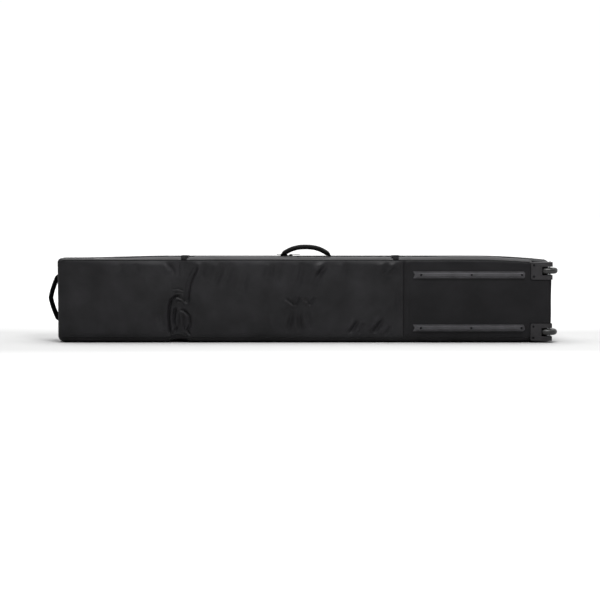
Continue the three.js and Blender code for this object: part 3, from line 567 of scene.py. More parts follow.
SHELL = woven("shell_fabric", (0.0135, 0.0132, 0.0145), 0.5, 0.6 * MM, mottling=0.4, specular=0.16)
TARP = woven("wheel_end_fabric", (0.0088, 0.0085, 0.0096), 0.45, 0.5 * MM,
             strength=0.15, mottling=0.35, specular=0.15)
LINING = woven("lining_fabric", (0.075, 0.08, 0.088), 0.7, 0.4 * MM)
QUILT = woven("quilted_cover", (0.05, 0.053, 0.058), 0.7, 0.4 * MM, sheen=0.2)
FOAM = woven("foam_cover", (0.06, 0.065, 0.07), 0.8, 0.8 * MM)
WEBBING = woven("webbing", (0.002, 0.002, 0.0024), 0.7, 1.1 * MM, strength=0.6, specular=0.04)
THREAD = woven("thread", (0.02, 0.02, 0.021), 0.5, 0.4 * MM, specular=0.3)
PIPING = woven("piping", (0.004, 0.004, 0.0045), 0.5, 0.5 * MM)
SLEEVE = woven("handle_sleeve", (0.005, 0.005, 0.005), 0.65, 2.2 * MM, strength=0.8, specular=0.06)
PLASTIC = moulded("rail_plastic", (0.046, 0.045, 0.049), 0.5, specular=0.3)
HOUSING = moulded("housing_plastic", (0.020, 0.0188, 0.0205), 0.5, dots=420, specular=0.3)
BUCKLE = moulded("buckle_plastic", (0.01, 0.01, 0.011), 0.35)
TYRE = moulded("tyre_rubber", (0.012, 0.012, 0.012), 0.45)
HUB = moulded("hub_plastic", (0.03, 0.03, 0.032), 0.4)
BOARD = moulded("board", (0.4, 0.41, 0.43), 0.55)
SCREW = metal("black_screw", (0.012, 0.012, 0.013), 0.4)
STEEL = metal("plated_steel", (0.62, 0.62, 0.63), 0.22)
ZIP_METAL = metal("black_enamel", (0.05, 0.05, 0.052), 0.35)
ZIP_COIL = moulded("zip_coil", (0.010, 0.010, 0.0105), 0.45)
ZIP_TAPE = woven("zip_tape", (0.0085, 0.0085, 0.0095), 0.55, 0.5 * MM)


# ---------------------------------------------------------------- fabric panels
def in_housing(x, z, margin):
    inside = np.zeros_like(x, bool)
    for low, high in HOUSINGS:
        upper = low.z > MIDDLE_Z
        above = z > low.z + margin if upper else z < high.z - margin
        inside |= (x > low.x + margin) & above
    return inside


def tuck(x, z):
    """1 where a housing or its screws press on the fabric, 0 away from them."""
    t = np.zeros_like(x)
    for low, high in HOUSINGS:
        upper = low.z > MIDDLE_Z
        edge = (z - low.z + 0.003) if upper else (high.z + 0.003 - z)
        t = np.maximum(t, smooth_step((x - low.x + 0.004) / 0.005) * smooth_step(edge / 0.005))
    return t


def seam_point(s):
    x, z, nx, nz = s
    inset = edge_inset(nx, nz) + fold_lift(x, nz)
    return x - nx * inset, z - nz * inset


def limits_at(x):
    """Lowest and highest z of the base face at x, from the seam's own line."""
    seam = np.array([seam_point(s) for s in RING])
    end = (PART == "nose") | (PART == "tail")
    top = seam[(PART == "upper") | (end & (RING[:, 1] > 0.2))]
    low = seam[(PART == "lower") | (end & (RING[:, 1] < 0.1))]
    top, low = top[np.argsort(top[:, 0])], low[np.argsort(low[:, 0])]
    return np.interp(x, low[:, 0], low[:, 1]), np.interp(x, top[:, 0], top[:, 1])


FACE_X = (NOSE_X + NOSE_SEAM_INSET, TAIL_X - TAIL_SEAM_INSET)


def face_depth(x, z):
    """The y of the base face's outer side at (x, z)."""
    low, high = limits_at(x)
    side = np.minimum(z - low, high - z)
    ends = np.minimum(x - FACE_X[0], FACE_X[1] - x)
    edge = np.minimum(side, ends)
    relief = base_relief(x, z) * smooth_step(edge / 0.02)
    nose = np.exp(-np.clip(x - FACE_X[0], 0, 1) / NOSE_TURN)
    y = BASE_Y + SEAM_DROP * np.exp(-np.clip(side, 0, 1) / 0.006) * (1 - nose) - relief
    y = y + NOSE_DROP * nose + SEAM_DROP * np.exp(-np.clip(FACE_X[1] - x, 0, 1) / 0.004)
    return y * (1 - tuck(x, z)) + (BASE_Y + 2 * MM) * tuck(x, z)


def base_face_points(xs, count):
    low, high = limits_at(xs)
    t = np.linspace(0, 1, count)
    x = np.repeat(xs[:, None], count, 1)
    z = low[:, None] + (high - low)[:, None] * t[None, :]
    return np.stack([x, face_depth(x, z), z], -1)


def base_panels():
    rows = 110
    front = np.arange(FACE_X[0], SEAM_X, 2.5 * MM)
    front = np.append(front, SEAM_X)
    rear = np.append(np.arange(SEAM_X, FACE_X[1], 3 * MM), FACE_X[1])
    pieces = []
    for name, xs, look, cad, slot in (
        ("base_fabric", front, SHELL, "base_panel", "shell_fabric"),
        ("base_fabric_wheel_end", rear, TARP, "base_panel_wheel_end", "tarpaulin"),
    ):
        points = base_face_points(xs, rows)
        middle = (points[:-1, :-1] + points[1:, 1:]) / 2
        keep = ~in_housing(middle[..., 0], middle[..., 2], 6 * MM)
        obj = grid_object(name, points, keep)
        thicken(obj, FABRIC, lambda c: (0, -1, 0))
        pieces.append(finish_piece(obj, "bag", look, [cad]))
    return pieces


def side_profile(ring, ys, y_low, inset_high=None, y_high=None):
    """Points of a side panel: ring stations by depth values."""
    x, z, nx, nz = (ring[:, k][:, None] for k in range(4))
    y = np.repeat(ys[None, :], len(ring), 0)
    inset = edge_inset(nx, nz)
    t = np.clip((y - y_low) / 0.03, 0, 1)
    off = -inset * (1 - np.sqrt(np.clip(1 - (1 - t) ** 2.2, 0, 1)))
    if y_high is not None:
        u = np.clip((y_high - y) / 0.022, 0, 1)
        off = off - inset_high * (1 - np.sqrt(np.clip(1 - (1 - u) ** 2.2, 0, 1)))
    far = np.minimum(np.abs(y - y_low), np.abs(y - (y_high if y_high is not None else 9)))
    off = off + side_relief(x, z, nx, nz, y) * smooth_step(far / 0.012)
    off = off - fold_lift(x, nz) * np.exp(-np.clip(y - y_low, 0, 1) / 0.08)
    return np.stack([x + nx * off, y, z + nz * off], -1)


def seam_y(x, nx):
    """The base seam's depth: it sits further back round the nose, where the face turns the corner."""
    nose = np.exp(-np.clip(x - FACE_X[0], 0, 1) / NOSE_TURN)
    return BASE_Y + SEAM_DROP * (1 - nose) + NOSE_DROP * nose


def turn_nose_corner(points, ring):
    """Slides the seam edge of a side back to meet the face's edge at the nose."""
    x, z = seam_point(ring.T)
    shift = (seam_y(x, ring[:, 2]) - (BASE_Y + SEAM_DROP))[:, None]
    near = np.exp(-np.clip(points[..., 1] - BASE_Y - SEAM_DROP, 0, 1) / 0.03)
    points[..., 1] += shift * near
    return points


def ring_part(name):
    chosen = PART == name
    picked = RING[chosen]
    order = np.where(chosen)[0]
    first, last = order[0], order[-1]
    before = RING[(first - 1) % len(RING)]
    after = RING[(last + 1) % len(RING)]
    return picked, before, after


def side_panels():
    y_low = BASE_Y + SEAM_DROP
    short = np.linspace(y_low, WALL_END_Y, 30)
    full = np.concatenate([short, np.linspace(WALL_END_Y, LID_Y, 15)[1:]])
    jobs = (
        ("side_fabric_upper", "upper", short, SHELL, "side_panel_upper", "shell_fabric", False),
        ("side_fabric_lower", "lower", full, SHELL, "side_panel_lower", "shell_fabric", True),
        ("end_fabric_nose", "nose", full, SHELL, "end_panel_nose", "shell_fabric", True),
        ("end_fabric_wheel_end", "tail", full, TARP, "end_panel_wheel_end", "tarpaulin", True),
    )
    for name, part, ys, look, cad, slot, deep in jobs:
        picked, before, after = ring_part(part)
        ring = np.vstack([before[None], picked, after[None]]) if part in ("upper", "lower") else picked
        high = (LID_SEAM_INSET, LID_Y) if deep else (None, None)
        points = side_profile(ring, ys, y_low, *high)
        points = turn_nose_corner(points, ring)
        middle = (points[:-1, :-1] + points[1:, 1:]) / 2
        mx, my, mz = middle[..., 0], middle[..., 1], middle[..., 2]
        keep = np.ones(mx.shape, bool)
        if part == "nose":
            keep &= ~((mz > NOSE_ZIP_Z - 1.5 * MM) & (my > WALL_END_Y))
        if part == "tail":
            keep &= ~((mz > TAIL_ZIP_Z - 1 * MM) & (my > WALL_END_Y))
        for low, high_corner in HOUSINGS:
            upper = low.z > MIDDLE_Z
            margin = 5 * MM
            beside = (mz > low.z + margin) if upper else (mz < high_corner.z - margin)
            depth = np.where(mx > TAIL_X - 4 * MM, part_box("wheel_housing_upper")[1].y - margin,
                             BASE_Y + 40 * MM - margin)
            keep &= ~((mx > low.x + margin) & beside & (my < depth))
        px, py, pz = points[..., 0], points[..., 1], points[..., 2]
        press = tuck(px, pz) * smooth_step((BASE_Y + 0.07 - py) / 0.004)
        side_press = press * (np.abs(px - TAIL_X) > 5 * MM) * smooth_step((BASE_Y + 0.044 - py) / 0.004)
        n = ring[:, 2:4]
        points[..., 0] -= n[:, 0][:, None] * 3 * MM * press
        points[..., 2] -= n[:, 1][:, None] * 3 * MM * side_press
        obj = grid_object(name, points, keep)
        across = part in ("upper", "lower")
        thicken(obj, FABRIC, lambda c: (0, 0, c[2] - MIDDLE_Z) if across else (c[0], 0, 0))
        finish_piece(obj, "bag", look, [cad])


def lid_ring():
    """Stations that the lid's rim covers: up the nose, along the top and down the wheel end."""
    on_nose = (PART == "nose") & (RING[:, 1] > NOSE_ZIP_Z)
    on_tail = (PART == "tail") & (RING[:, 1] > TAIL_ZIP_Z)
    return RING[on_nose | (PART == "upper") | on_tail]


# Shallow folds of the lid: where each starts along x, and how far it slants.
LID_FOLDS = ((-0.36, 0.02), (-0.2, -0.015), (-0.02, 0.02), (0.16, -0.02), (0.42, 0.015), (0.6, -0.01))


def lid_relief(x, z):
    d = 2.5 * MM + 0 * x
    d += 1.6 * MM * value_noise(x, z, 0.17, 0.12, 21)
    d += 0.6 * MM * value_noise(x, z, 0.05, 0.07, 22)
    d -= 3.5 * MM * between(x, FOLD_X[0] - 0.01, FOLD_X[1] + 0.01, 0.03)
    d += between(x, FOLD_X[0], FOLD_X[1], 0.03) * 1.3 * MM * value_noise(x, z, 0.012, 0.05, 23)
    for sx in STRAP_X:
        d -= 3.0 * MM * bump(x - sx, 0.022)
    for k, (x0, tilt) in enumerate(LID_FOLDS):
        d += fold_line(x, z, [(x0, 0.285), (x0 + tilt, 0.20 - 0.01 * k)], 1.6 * MM, 10 * MM)
        d += fold_line(x, z, [(x0 + 0.05, 0.02), (x0 + 0.05 - tilt, 0.09)], 1.6 * MM, 9 * MM)
    return d


def lid_panels():
    rim_ys = np.linspace(RIM_START_Y, LID_Y, 15)
    points = side_profile(lid_ring(), rim_ys, BASE_Y, LID_SEAM_INSET, LID_Y)
    rim = grid_object("lid_rim_fabric", points)
    thicken(rim, FABRIC, lambda c: (0, 0, c[2] - MIDDLE_Z) if abs(c[0]) < 0.8 else (c[0], 0, 0))
    finish_piece(rim, "lid", SHELL, ["lid_rim"])
    inner = RING.copy()
    inner[:, 0] -= inner[:, 2] * LID_SEAM_INSET
    inner[:, 1] -= inner[:, 3] * LID_SEAM_INSET
    top = inner[RING[:, 1] > MIDDLE_Z]
    low = inner[RING[:, 1] < MIDDLE_Z]
    top, low = top[np.argsort(top[:, 0])], low[np.argsort(low[:, 0])]
    last = TAIL_X - LID_SEAM_INSET
    xs = np.append(np.arange(NOSE_X + LID_SEAM_INSET, last, STEP), last)
    z0, z1 = np.interp(xs, low[:, 0], low[:, 1]), np.interp(xs, top[:, 0], top[:, 1])
    t = np.linspace(0, 1, 70)
    x = np.repeat(xs[:, None], len(t), 1)
    z = z0[:, None] + (z1 - z0)[:, None] * t[None]
    edge = np.minimum(np.minimum(z - z0[:, None], z1[:, None] - z), np.minimum(x - xs[0], xs[-1] - x))
    y = LID_Y + lid_relief(x, z) * smooth_step(edge / 0.025)
    face = grid_object("lid_fabric", np.stack([x, y, z], -1))
    thicken(face, FABRIC, lambda c: (0, 1, 0))
    finish_piece(face, "lid", SHELL, ["lid_panel"])


def pipings():
    """Piping in the base seam along the top, the bottom and the wheel end, and all round the lid."""
    x, z = seam_point(RING.T)
    line = np.stack([x, seam_y(x, RING[:, 2]) - 0.3 * MM, z], -1)
    line[:, 0] += RING[:, 2] * 0.5 * MM
    line[:, 2] += RING[:, 3] * 0.5 * MM
    upper_housing, lower_housing = HOUSINGS
    limit = upper_housing[0].x - 1 * MM
    runs = {
        "base_piping_upper": (PART == "upper") & (line[:, 0] < limit),
        "base_piping_lower": (PART == "lower") & (line[:, 0] < limit),
        "base_piping_wheel_end": (PART == "tail") & (line[:, 2] < upper_housing[0].z - 1 * MM)
        & (line[:, 2] > lower_housing[1].z + 1 * MM),
    }
    for name, chosen in runs.items():
        finish_piece(tube_along(name, line[chosen], PIPING_RADIUS), "bag", PIPING)
    inset = LID_SEAM_INSET - 0.4 * MM
    points = np.stack([RING[:, 0] - RING[:, 2] * inset, np.full(len(RING), LID_Y - 0.2 * MM),
                       RING[:, 1] - RING[:, 3] * inset], -1)
    finish_piece(tube_along("lid_piping", points, PIPING_RADIUS, closed=True), "lid", PIPING)


base_panels()
side_panels()
lid_panels()
pipings()


def pad_piece(obj, body, cad, look):
    finish_piece(obj, body, look, [cad])


def base_pads():
    """Crowned foam slabs that follow the base fabric from inside."""
    for name, cad in (("base_foam_nose", "base_pad_nose"), ("base_foam_middle", "base_pad_middle")):
        low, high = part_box(cad)
        xs = np.arange(low.x, high.x, 5 * MM)
        zs = np.linspace(low.z, high.z, 48)
        x, z = np.meshgrid(xs, zs, indexing="ij")
        relief = base_relief(x, z)
        edge = np.minimum(np.minimum(x - xs[0], xs[-1] - x), np.minimum(z - zs[0], zs[-1] - z))
        crown = smooth_step(edge / 0.018)
        outer = np.stack([x, BASE_Y + PAD_CLEAR - relief + 1.2 * MM * (1 - crown), z], -1)
        inner = np.stack([x, BASE_Y + PAD_CLEAR - relief + PAD_DEPTH - 1.8 * MM * (1 - crown), z], -1)
        pad_piece(closed_slab(name, outer, inner), "bag", cad, FOAM)


def wall_slab(name, ring, ys, cad):
    """A foam slab that follows a side panel from inside."""
    y_low = BASE_Y + SEAM_DROP
    skin = side_profile(ring, ys, y_low)
    n = np.stack([ring[:, 2], 0 * ring[:, 2], ring[:, 3]], -1)[:, None, :]
    across = np.minimum(ys - ys[0], ys[-1] - ys)
    run = np.arange(len(ring)) * STEP
    ends = np.minimum(run, run[-1] - run)
    crown = smooth_step(np.minimum(across[None, :], ends[:, None]) / 0.014)[..., None]
    outer = skin - n * (PAD_CLEAR + 1.0 * MM * (1 - crown))
    inner = skin - n * (PAD_CLEAR + PAD_DEPTH - 1.6 * MM * (1 - crown))
    pad_piece(closed_slab(name, outer, inner), "bag", cad, FOAM)


def wall_pads():
    low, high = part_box("side_pad_upper")
    short = np.linspace(low.y, high.y, 20)
    chosen = (PART == "upper") & (RING[:, 0] > low.x) & (RING[:, 0] < high.x)
    wall_slab("side_foam_upper", RING[chosen], short, "side_pad_upper")
    low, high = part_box("side_pad_lower")
    chosen = (PART == "lower") & (RING[:, 0] > low.x) & (RING[:, 0] < high.x)
    wall_slab("side_foam_lower", RING[chosen], np.linspace(low.y, high.y, 26), "side_pad_lower")
    for cad, part, name in (("end_pad_nose", "nose", "end_foam_nose"),
                            ("end_pad_wheel_end", "tail", "end_foam_wheel_end")):
        low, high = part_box(cad)
        chosen = (PART == part) & (RING[:, 1] > low.z) & (RING[:, 1] < high.z)
        wall_slab(name, RING[chosen], short, cad)


def lining_pieces():
    """A loose tub of lining cloth: its walls, and its floor over the base foam."""
    floor_y = BASE_Y + LINING_CLEAR
    top_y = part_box("side_pad_upper")[1].y
    ring = RING[~((RING[:, 0] > HOUSINGS[0][0].x - 0.01) & ((RING[:, 1] > 0.2) | (RING[:, 1] < 0.09)))]
    ys = np.linspace(floor_y + 1 * MM, top_y, 22)
    skin = side_profile(ring, ys, BASE_Y + SEAM_DROP)
    n = np.stack([ring[:, 2], 0 * ring[:, 2], ring[:, 3]], -1)[:, None, :]
    ripple = 0.7 * MM * (1 + value_noise(ring[:, 0] + ring[:, 1], 0 * ring[:, 0], 0.03, 1, 31))[:, None, None]
    walls = skin - n * (LINING_CLEAR + ripple)
    across = np.hypot(np.diff(walls[:, 0, 0]), np.diff(walls[:, 0, 2]))
    keep = np.repeat((across < 3 * STEP)[:, None], len(ys) - 1, 1)
    obj = grid_object("lining_walls", walls, keep)
    thicken(obj, LINING_CLOTH, lambda c: (c[0] if abs(c[0]) > 0.84 else 0, 0, c[2] - MIDDLE_Z))
    finish_piece(obj, "bag", LINING, ["lining"])
    low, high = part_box("lining")
    xs = np.arange(low.x + 2 * MM, high.x - 2 * MM, 5 * MM)
    zs = np.linspace(low.z + 12 * MM, high.z - 12 * MM, 50)
    x, z = np.meshgrid(xs, zs, indexing="ij")
    y = floor_y - base_relief(x, z) + 0.6 * MM * (1 + value_noise(x, z, 0.06, 0.08, 32))
    points = np.stack([x, y, z], -1)
    middle = (points[:-1, :-1] + points[1:, 1:]) / 2
    keep = ~in_housing(middle[..., 0] - 12 * MM, middle[..., 2], -4 * MM)
    obj = grid_object("lining_floor", points, keep)
    thicken(obj, LINING_CLOTH, lambda c: (0, -1, 0))
    finish_piece(obj, "bag", LINING)


def lid_quilt():
    """The lid's padding, quilted in diamonds on its inner face."""
    low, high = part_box("lid_pad")
    xs = np.arange(low.x + 4 * MM, high.x - 4 * MM, 5 * MM)
    zs = np.linspace(low.z + 6 * MM, high.z - 6 * MM, 64)
    x, z = np.meshgrid(xs, zs, indexing="ij")
    edge = np.minimum(np.minimum(x - xs[0], xs[-1] - x), np.minimum(z - zs[0], zs[-1] - z))
    crown = smooth_step(edge / 0.016)
    lines = np.abs(np.sin(math.pi * (x + z) / 0.12)) * np.abs(np.sin(math.pi * (x - z) / 0.12))
    puff = 0.45 + 0.55 * np.clip(lines, 0, 1) ** 0.35
    back = LID_Y - FABRIC - 0.6 * MM + lid_relief(x, z) * smooth_step(edge / 0.02) * 0.9
    outer = np.stack([x, back - 1 * MM * (1 - crown), z], -1)
    inner = np.stack([x, back - 1.2 * MM - (LID_PAD_DEPTH - 1.2 * MM) * puff * (0.35 + 0.65 * crown), z], -1)
    pad_piece(closed_slab("lid_quilt", outer, inner), "lid", "lid_pad", QUILT)


# ---------------------------------------------------------------- stitching
STITCH = {"pitch": 4.2 * MM, "length": 3.0 * MM, "half_width": 0.35 * MM, "lift": 0.35 * MM}


def stitch_row(name, path):
    """A row of thread stitches along an (x, z) path on the base face."""
    path = np.asarray(path, float)
    gaps = np.hypot(*np.diff(path, axis=0).T)
    length_at = np.concatenate([[0], np.cumsum(gaps)])
    starts = np.arange(0, length_at[-1] - STITCH["length"], STITCH["pitch"])
    ends = starts + STITCH["length"]
    points, faces = [], []
    for start, end in zip(starts, ends):
        ax, az = np.interp(start, length_at, path[:, 0]), np.interp(start, length_at, path[:, 1])
        bx, bz = np.interp(end, length_at, path[:, 0]), np.interp(end, length_at, path[:, 1])
        along = np.array([bx - ax, bz - az])
        side = np.array([-along[1], along[0]]) / np.hypot(*along) * STITCH["half_width"]
        base = len(points)
        for px, pz, lift in ((ax, az, 0), ((ax + bx) / 2, (az + bz) / 2, STITCH["lift"]), (bx, bz, 0)):
            for way in (-1, 1):
                points.append((px + way * side[0], lift, pz + way * side[1]))
                points.append((px + way * side[0], lift - 2 * STITCH["lift"], pz + way * side[1]))
        for k in (0, 4):
            a = base + k
            faces.extend([(a, a + 4, a + 6, a + 2), (a + 1, a + 3, a + 7, a + 5),
                          (a, a + 1, a + 5, a + 4), (a + 2, a + 6, a + 7, a + 3)])
        faces.extend([(base, base + 2, base + 3, base + 1), (base + 8, base + 9, base + 11, base + 10)])
    points = np.array(points)
    points[:, 1] = face_depth(points[:, 0], points[:, 2]) - points[:, 1]
    obj = mesh_object(name, points, faces, smooth=False)
    face_outward(obj)
    finish_piece(obj, "bag", THREAD)


def seam_stitching():
    """Topstitching beside the base seam and on both sides of the seam across the base."""
    inside = 5 * MM
    xs = np.arange(FACE_X[0] + 0.03, HOUSINGS[0][0].x - 0.006, 3 * MM)
    low, high = limits_at(xs)
    stitch_row("topstitch_upper", np.stack([xs, high - inside], -1))
    stitch_row("topstitch_lower", np.stack([xs, low + inside], -1))
    low, high = (float(v[0]) for v in limits_at(np.array([SEAM_X])))
    across = np.arange(low + 8 * MM, high - 8 * MM, 3 * MM)
    for k, offset in enumerate((-5 * MM, 5 * MM)):
        stitch_row(f"seam_stitch_{k + 1}", np.stack([0 * across + SEAM_X + offset, across], -1))


seam_stitching()
base_pads()
wall_pads()
lining_pieces()
lid_quilt()


# ---------------------------------------------------------------- handles
def hump(feet, rise, power, count):
    """Points and outward normals, in (x, z), along a hump between two feet."""
    a, b = np.array(feet[0]), np.array(feet[1])
    chord = b - a
    out = np.array([-chord[1], chord[0]]) / np.hypot(*chord)
    t = np.linspace(-1, 1, count)
    points = a + chord * ((t[:, None] + 1) / 2) + out * (rise * (1 - np.abs(t) ** power))[:, None]
    ahead = np.gradient(points, axis=0)
    ahead /= np.hypot(ahead[:, 0], ahead[:, 1])[:, None]
    return points, np.stack([-ahead[:, 1], ahead[:, 0]], -1), t


def handle(name, body, feet, rise, power, half_width, half_thickness, ribs, look):
    """A padded sleeve, gathered in ribs, that narrows to the folded webbing at both feet."""
    count, sides = 160, 28
    points, normals, t = hump(feet, rise, power, count)
    taper = 0.16 + 0.84 * smooth_step((1 - np.abs(t)) / 0.20)
    thick = 0.30 + 0.70 * smooth_step((1 - np.abs(t)) / 0.16)
    rib = 1 + 0.045 * np.sin(ribs * math.pi * t) * smooth_step((0.97 - np.abs(t)) / 0.1)
    turn = np.linspace(0, 2 * math.pi, sides, endpoint=False)
    across = np.sign(np.cos(turn)) * np.abs(np.cos(turn)) ** 0.8 * half_width
    out = np.sign(np.sin(turn)) * np.abs(np.sin(turn)) ** 0.8 * half_thickness
    rings = np.zeros((count, sides, 3))
    offset = out[None] * (thick * rib)[:, None]
    rings[..., 0] = points[:, 0][:, None] + normals[:, 0][:, None] * offset
    rings[..., 1] = across[None] * (taper * rib)[:, None]
    rings[..., 2] = points[:, 1][:, None] + normals[:, 1][:, None] * offset
    obj = skin_rings(name, rings)
    finish_piece(obj, body, look, [body + "_webbing", body + "_sleeve"], settles=False)
    return obj


FOOT_LIFT = 3 * MM
SIDE_FEET = ((-0.086, TOP_Z + FOOT_LIFT), (0.094, TOP_Z + FOOT_LIFT))
NOSE_FEET = ((NOSE_X - FOOT_LIFT, 0.070), (NOSE_X - FOOT_LIFT, 0.240))
handle("side_handle_grip", "side_handle", SIDE_FEET, 33 * MM, 2.4, 15 * MM, 8.6 * MM, 64, SLEEVE)
handle("nose_handle_grip", "nose_handle", NOSE_FEET, 29 * MM, 1.35, 14 * MM, 8.2 * MM, 54, WEBBING)


# ---------------------------------------------------------------- zip teeth
def zip_teeth(name, body, side):
    """The coil: a tooth every 3 mm, all in one mesh, on one side of the zip."""
    ring = np.array([[s[0], s[1], s[2], s[3]] for s in lid_ring()])
    gaps = np.hypot(np.diff(ring[:, 0]), np.diff(ring[:, 1]))
    s_at = np.concatenate([[0], np.cumsum(gaps)])
    where = np.arange(2 * MM, s_at[-1] - 2 * MM, 3 * MM) + (1.5 * MM if side > 0 else 0)
    where = where[where < s_at[-1] - 1 * MM]
    x, z, nx, nz = (np.interp(where, s_at, ring[:, k]) for k in range(4))
    length = np.hypot(nx, nz)
    nx, nz = nx / length, nz / length
    y0, y1 = ZIP_Y + side * 3.4 * MM, ZIP_Y - side * 0.1 * MM
    points, faces = [], []
    for k in range(len(where)):
        tx, tz = nz[k], -nx[k]
        base = len(points)
        for y in (y0, y1):
            for off, half in ((1.0 * MM, 0.62 * MM), (3.2 * MM, 0.62 * MM), (3.7 * MM, 0.3 * MM)):
                for way in (-1, 1):
                    aside = half * way
                    points.append((x[k] + nx[k] * off + tx * aside, y, z[k] + nz[k] * off + tz * aside))
        for a, b in ((0, 2), (2, 4)):
            faces.append((base + a, base + b, base + b + 6, base + a + 6))
            faces.append((base + a + 1, base + a + 7, base + b + 7, base + b + 1))
        faces.append((base + 4, base + 5, base + 11, base + 10))
        faces.append((base, base + 6, base + 7, base + 1))
        faces.append((base, base + 1, base + 3, base + 5, base + 4, base + 2))
        faces.append((base + 6, base + 8, base + 10, base + 11, base + 9, base + 7))
    obj = mesh_object(name, points, faces, smooth=False)
    face_outward(obj)
    return finish_piece(obj, body, ZIP_COIL)


def zip_tape(name, body, side, cad):
    """The woven tape under one row of teeth, sewn along its far edge."""
    ring = lid_ring()
    x, z, nx, nz = (ring[:, k][:, None] for k in range(4))
    across = np.linspace(0.4 * MM, ZIP_REACH, 6)[None, :]
    y = ZIP_Y + side * across + 0 * x
    lift = 0.3 * MM - 0.2 * MM * bump(across - 0.8 * ZIP_REACH, 1.2 * MM)
    inner = np.stack([x + nx * lift, y, z + nz * lift], -1)
    outer = np.stack([x + nx * (lift + 0.9 * MM), y, z + nz * (lift + 0.9 * MM)], -1)
    finish_piece(closed_slab(name, outer, inner), body, ZIP_TAPE, [cad])


zip_tape("zip_tape_bag", "bag", -1, "zip_half_bag")
zip_tape("zip_tape_lid", "lid", 1, "zip_half_lid")
zip_teeth("zip_teeth_bag", "bag", -1)
zip_teeth("zip_teeth_lid", "lid", 1)


# ---------------------------------------------------------------- straps
def smooth_path(points, step):
    """A Catmull-Rom curve through the points, sampled about every step."""
    points = np.array(points, float)
    padded = np.vstack([2 * points[0] - points[1], points, 2 * points[-1] - points[-2]])
    out = []
    for a, b, c, d in zip(padded[:-3], padded[1:-2], padded[2:-1], padded[3:]):
        count = max(2, int(np.linalg.norm(c - b) / step))
        for t in np.linspace(0, 1, count, endpoint=False):
            out.append(0.5 * ((2 * b) + (c - a) * t + (2 * a - 5 * b + 4 * c - d) * t**2
                              + (3 * b - a - 3 * c + d) * t**3))
    out.append(points[-1])
    return np.array(out)


def webbing(name, body, path, x, width, thickness, node_name):
    """Flat webbing along a (y, z) path, with rounded selvedges."""
    line = smooth_path(path, 3 * MM)
    ahead = np.gradient(line, axis=0)
    ahead /= np.hypot(ahead[:, 0], ahead[:, 1])[:, None]
    normal = np.stack([-ahead[:, 1], ahead[:, 0]], -1)
    half, lip = width / 2, thickness / 2
    low_edge, shoulder = 0.3 * lip, 0.7 * lip
    section = [(-half + lip, -lip), (half - lip, -lip), (half - low_edge, -shoulder), (half, 0),
               (half - low_edge, shoulder), (half - lip, lip), (-half + lip, lip),
               (-half + low_edge, shoulder), (-half, 0), (-half + low_edge, -shoulder)]
    rings = np.array([[(x + u, y + ny * v, z + nz * v) for u, v in section]
                      for (y, z), (ny, nz) in zip(line, normal)])
    return finish_piece(skin_rings(name, rings), body, WEBBING, [node_name])


WEB_THICKNESS = 1.4 * MM
for end, strap_x in zip(("nose", "wheel"), STRAP_X):
    anchor_low, anchor_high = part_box("strap_anchor_" + end)
    strap_low, strap_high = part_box("strap_" + end)
    mid = WEB_THICKNESS / 2
    anchor = [(-0.0726, 0.2925), (-0.0699, 0.2955), (-0.0599, 0.3002), (-0.050, 0.3008),
              (anchor_high.y, 0.3008)]
    anchor = [(y, z + mid) for y, z in anchor]
    webbing("strap_anchor_web_" + end, "bag", anchor, strap_x, 20 * MM, WEB_THICKNESS, "strap_anchor_" + end)
    lid_line = [(strap_low.y, 0.3027), (0.0315, 0.3027), (0.034, 0.3039), (0.0425, 0.3039), (0.047, 0.3022),
                (0.056, 0.3016), (0.066, 0.2985), (0.073, 0.2925)]
    lid_line = [(y, z + mid) for y, z in lid_line]
    face_y = LID_Y + FABRIC
    lid_line += [(face_y, 0.281), (face_y, 0.20), (face_y, 0.10), (face_y, 0.021)]
    webbing("strap_web_" + end, "lid", lid_line, strap_x, 19 * MM, WEB_THICKNESS, "strap_" + end)


# ---------------------------------------------------------------- CAD nodes that keep their shape
KEPT = {
    "skid_rail": PLASTIC,
    "wheel_housing": HOUSING,
    "housing_screw": SCREW,
    "rail_screw": SCREW,
    "axle": STEEL,
    "tyre": TYRE,
    "hub": HUB,
    "bearing": STEEL,
    "slider": ZIP_METAL,
    "pull": ZIP_METAL,
    "buckle": BUCKLE,
    "base_board": BOARD,
}
for name, obj in nodes.items():
    for prefix, look in KEPT.items():
        if name.startswith(prefix):
            obj.data.materials.clear()
            obj.data.materials.append(look)

# ---------------------------------------------------------------- stage, lights and camera
FLOOR_HALF = 14
floor_corners = [(x * FLOOR_HALF, y * FLOOR_HALF, 0) for x, y in ((-1, -1), (1, -1), (1, 1), (-1, 1))]
floor = mesh_object("floor", floor_corners, [(0, 1, 2, 3)], smooth=False)
floor_look, floor_tree, floor_shader = new_material("floor", (0.42, 0.42, 0.42), 0.9, specular=0.0)
floor_place = node(floor_tree, "ShaderNodeTexCoord").outputs["Object"]
floor_axes = node(floor_tree, "ShaderNodeSeparateXYZ")
away = node(floor_tree, "ShaderNodeMath", operation="ABSOLUTE")
painted_floor_shade = node(floor_tree, "ShaderNodeMapRange")
# painted shade: the floor is painted darker near the bag, in metres from its middle, standing in for shade
# round the bag and letting less light bounce onto the face
painted_floor_shade.inputs["From Min"].default_value = 0.3
painted_floor_shade.inputs["From Max"].default_value = 1.6
painted_floor_shade.inputs["To Min"].default_value = 0.37
painted_floor_shade.inputs["To Max"].default_value = 0.85
floor_tree.links.new(floor_place, floor_axes.inputs["Vector"])
floor_tree.links.new(floor_axes.outputs["Y"], away.inputs[0])
floor_tree.links.new(away.outputs[0], painted_floor_shade.inputs["Value"])
floor_tree.links.new(painted_floor_shade.outputs["Result"], floor_shader.inputs["Base Color"])
floor.data.materials.append(floor_look)

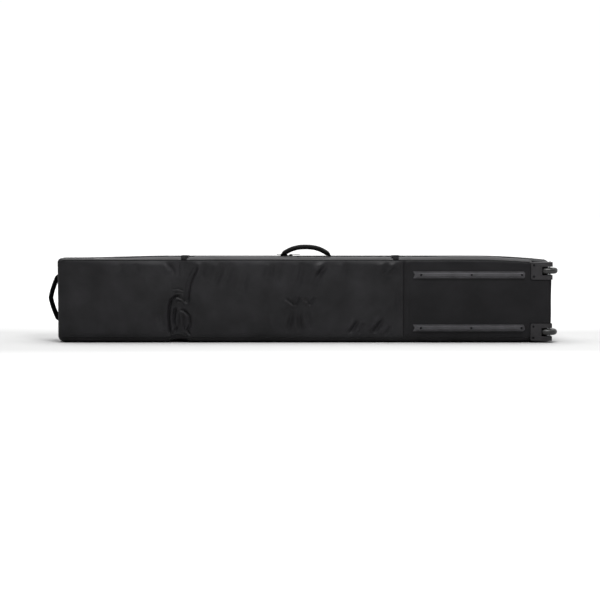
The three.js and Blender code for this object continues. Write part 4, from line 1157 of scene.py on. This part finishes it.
world = bpy.data.worlds.new("studio")
world.use_nodes = True
direction = node(world.node_tree, "ShaderNodeTexCoord").outputs["Generated"]
parts = node(world.node_tree, "ShaderNodeSeparateXYZ")
glow = node(world.node_tree, "ShaderNodeMapRange")
glow.inputs["From Min"].default_value = -0.7
glow.inputs["From Max"].default_value = 0.3
glow.inputs["To Min"].default_value = 0.09
glow.inputs["To Max"].default_value = 1.02
world.node_tree.links.new(direction, parts.inputs["Vector"])
world.node_tree.links.new(parts.outputs["Y"], glow.inputs["Value"])
world.node_tree.links.new(glow.outputs["Result"], world.node_tree.nodes["Background"].inputs["Color"])
bpy.context.scene.world = world
bpy.context.scene.view_settings.view_transform = "Standard"


def area_light(name, place, target, size, power):
    data = bpy.data.lights.new(name, "AREA")
    data.shape = "RECTANGLE"
    data.size, data.size_y = size
    data.energy = power
    lamp = link(bpy.data.objects.new(name, data))
    lamp.location = place
    lamp.rotation_euler = (Vector(target) - Vector(place)).to_track_quat("-Z", "Y").to_euler()
    return lamp


area_light("overhead", (0, 0.1, 2.6), (0, 0, 0), (4.0, 1.2), 70)
area_light("front_top", (0.5, -1.5, 2.7), (0, 0, 0.1), (1.0, 0.5), 62)
sun_data = bpy.data.lights.new("sky", "SUN")
sun_data.energy = 2.2
sun_data.angle = math.radians(50)
sun = link(bpy.data.objects.new("sky", sun_data))
sun.rotation_euler = (math.radians(-8), 0, 0)

CAMERA_DISTANCE = 6.0
CAMERA_RISE = math.radians(4.5)
VIEW_WIDTH = 2.121  # metres across the picture, at the base face
target = Vector((-0.016, BASE_Y, 0.152))
camera_data = bpy.data.cameras.new("camera")
camera_data.sensor_width = 36
camera_data.lens = 36 * CAMERA_DISTANCE / VIEW_WIDTH
camera = link(bpy.data.objects.new("camera", camera_data))
camera.location = target + CAMERA_DISTANCE * Vector((0, -math.cos(CAMERA_RISE), math.sin(CAMERA_RISE)))
camera.rotation_euler = (target - camera.location).to_track_quat("-Z", "Y").to_euler()
bpy.context.scene.camera = camera

bpy.context.view_layer.update()
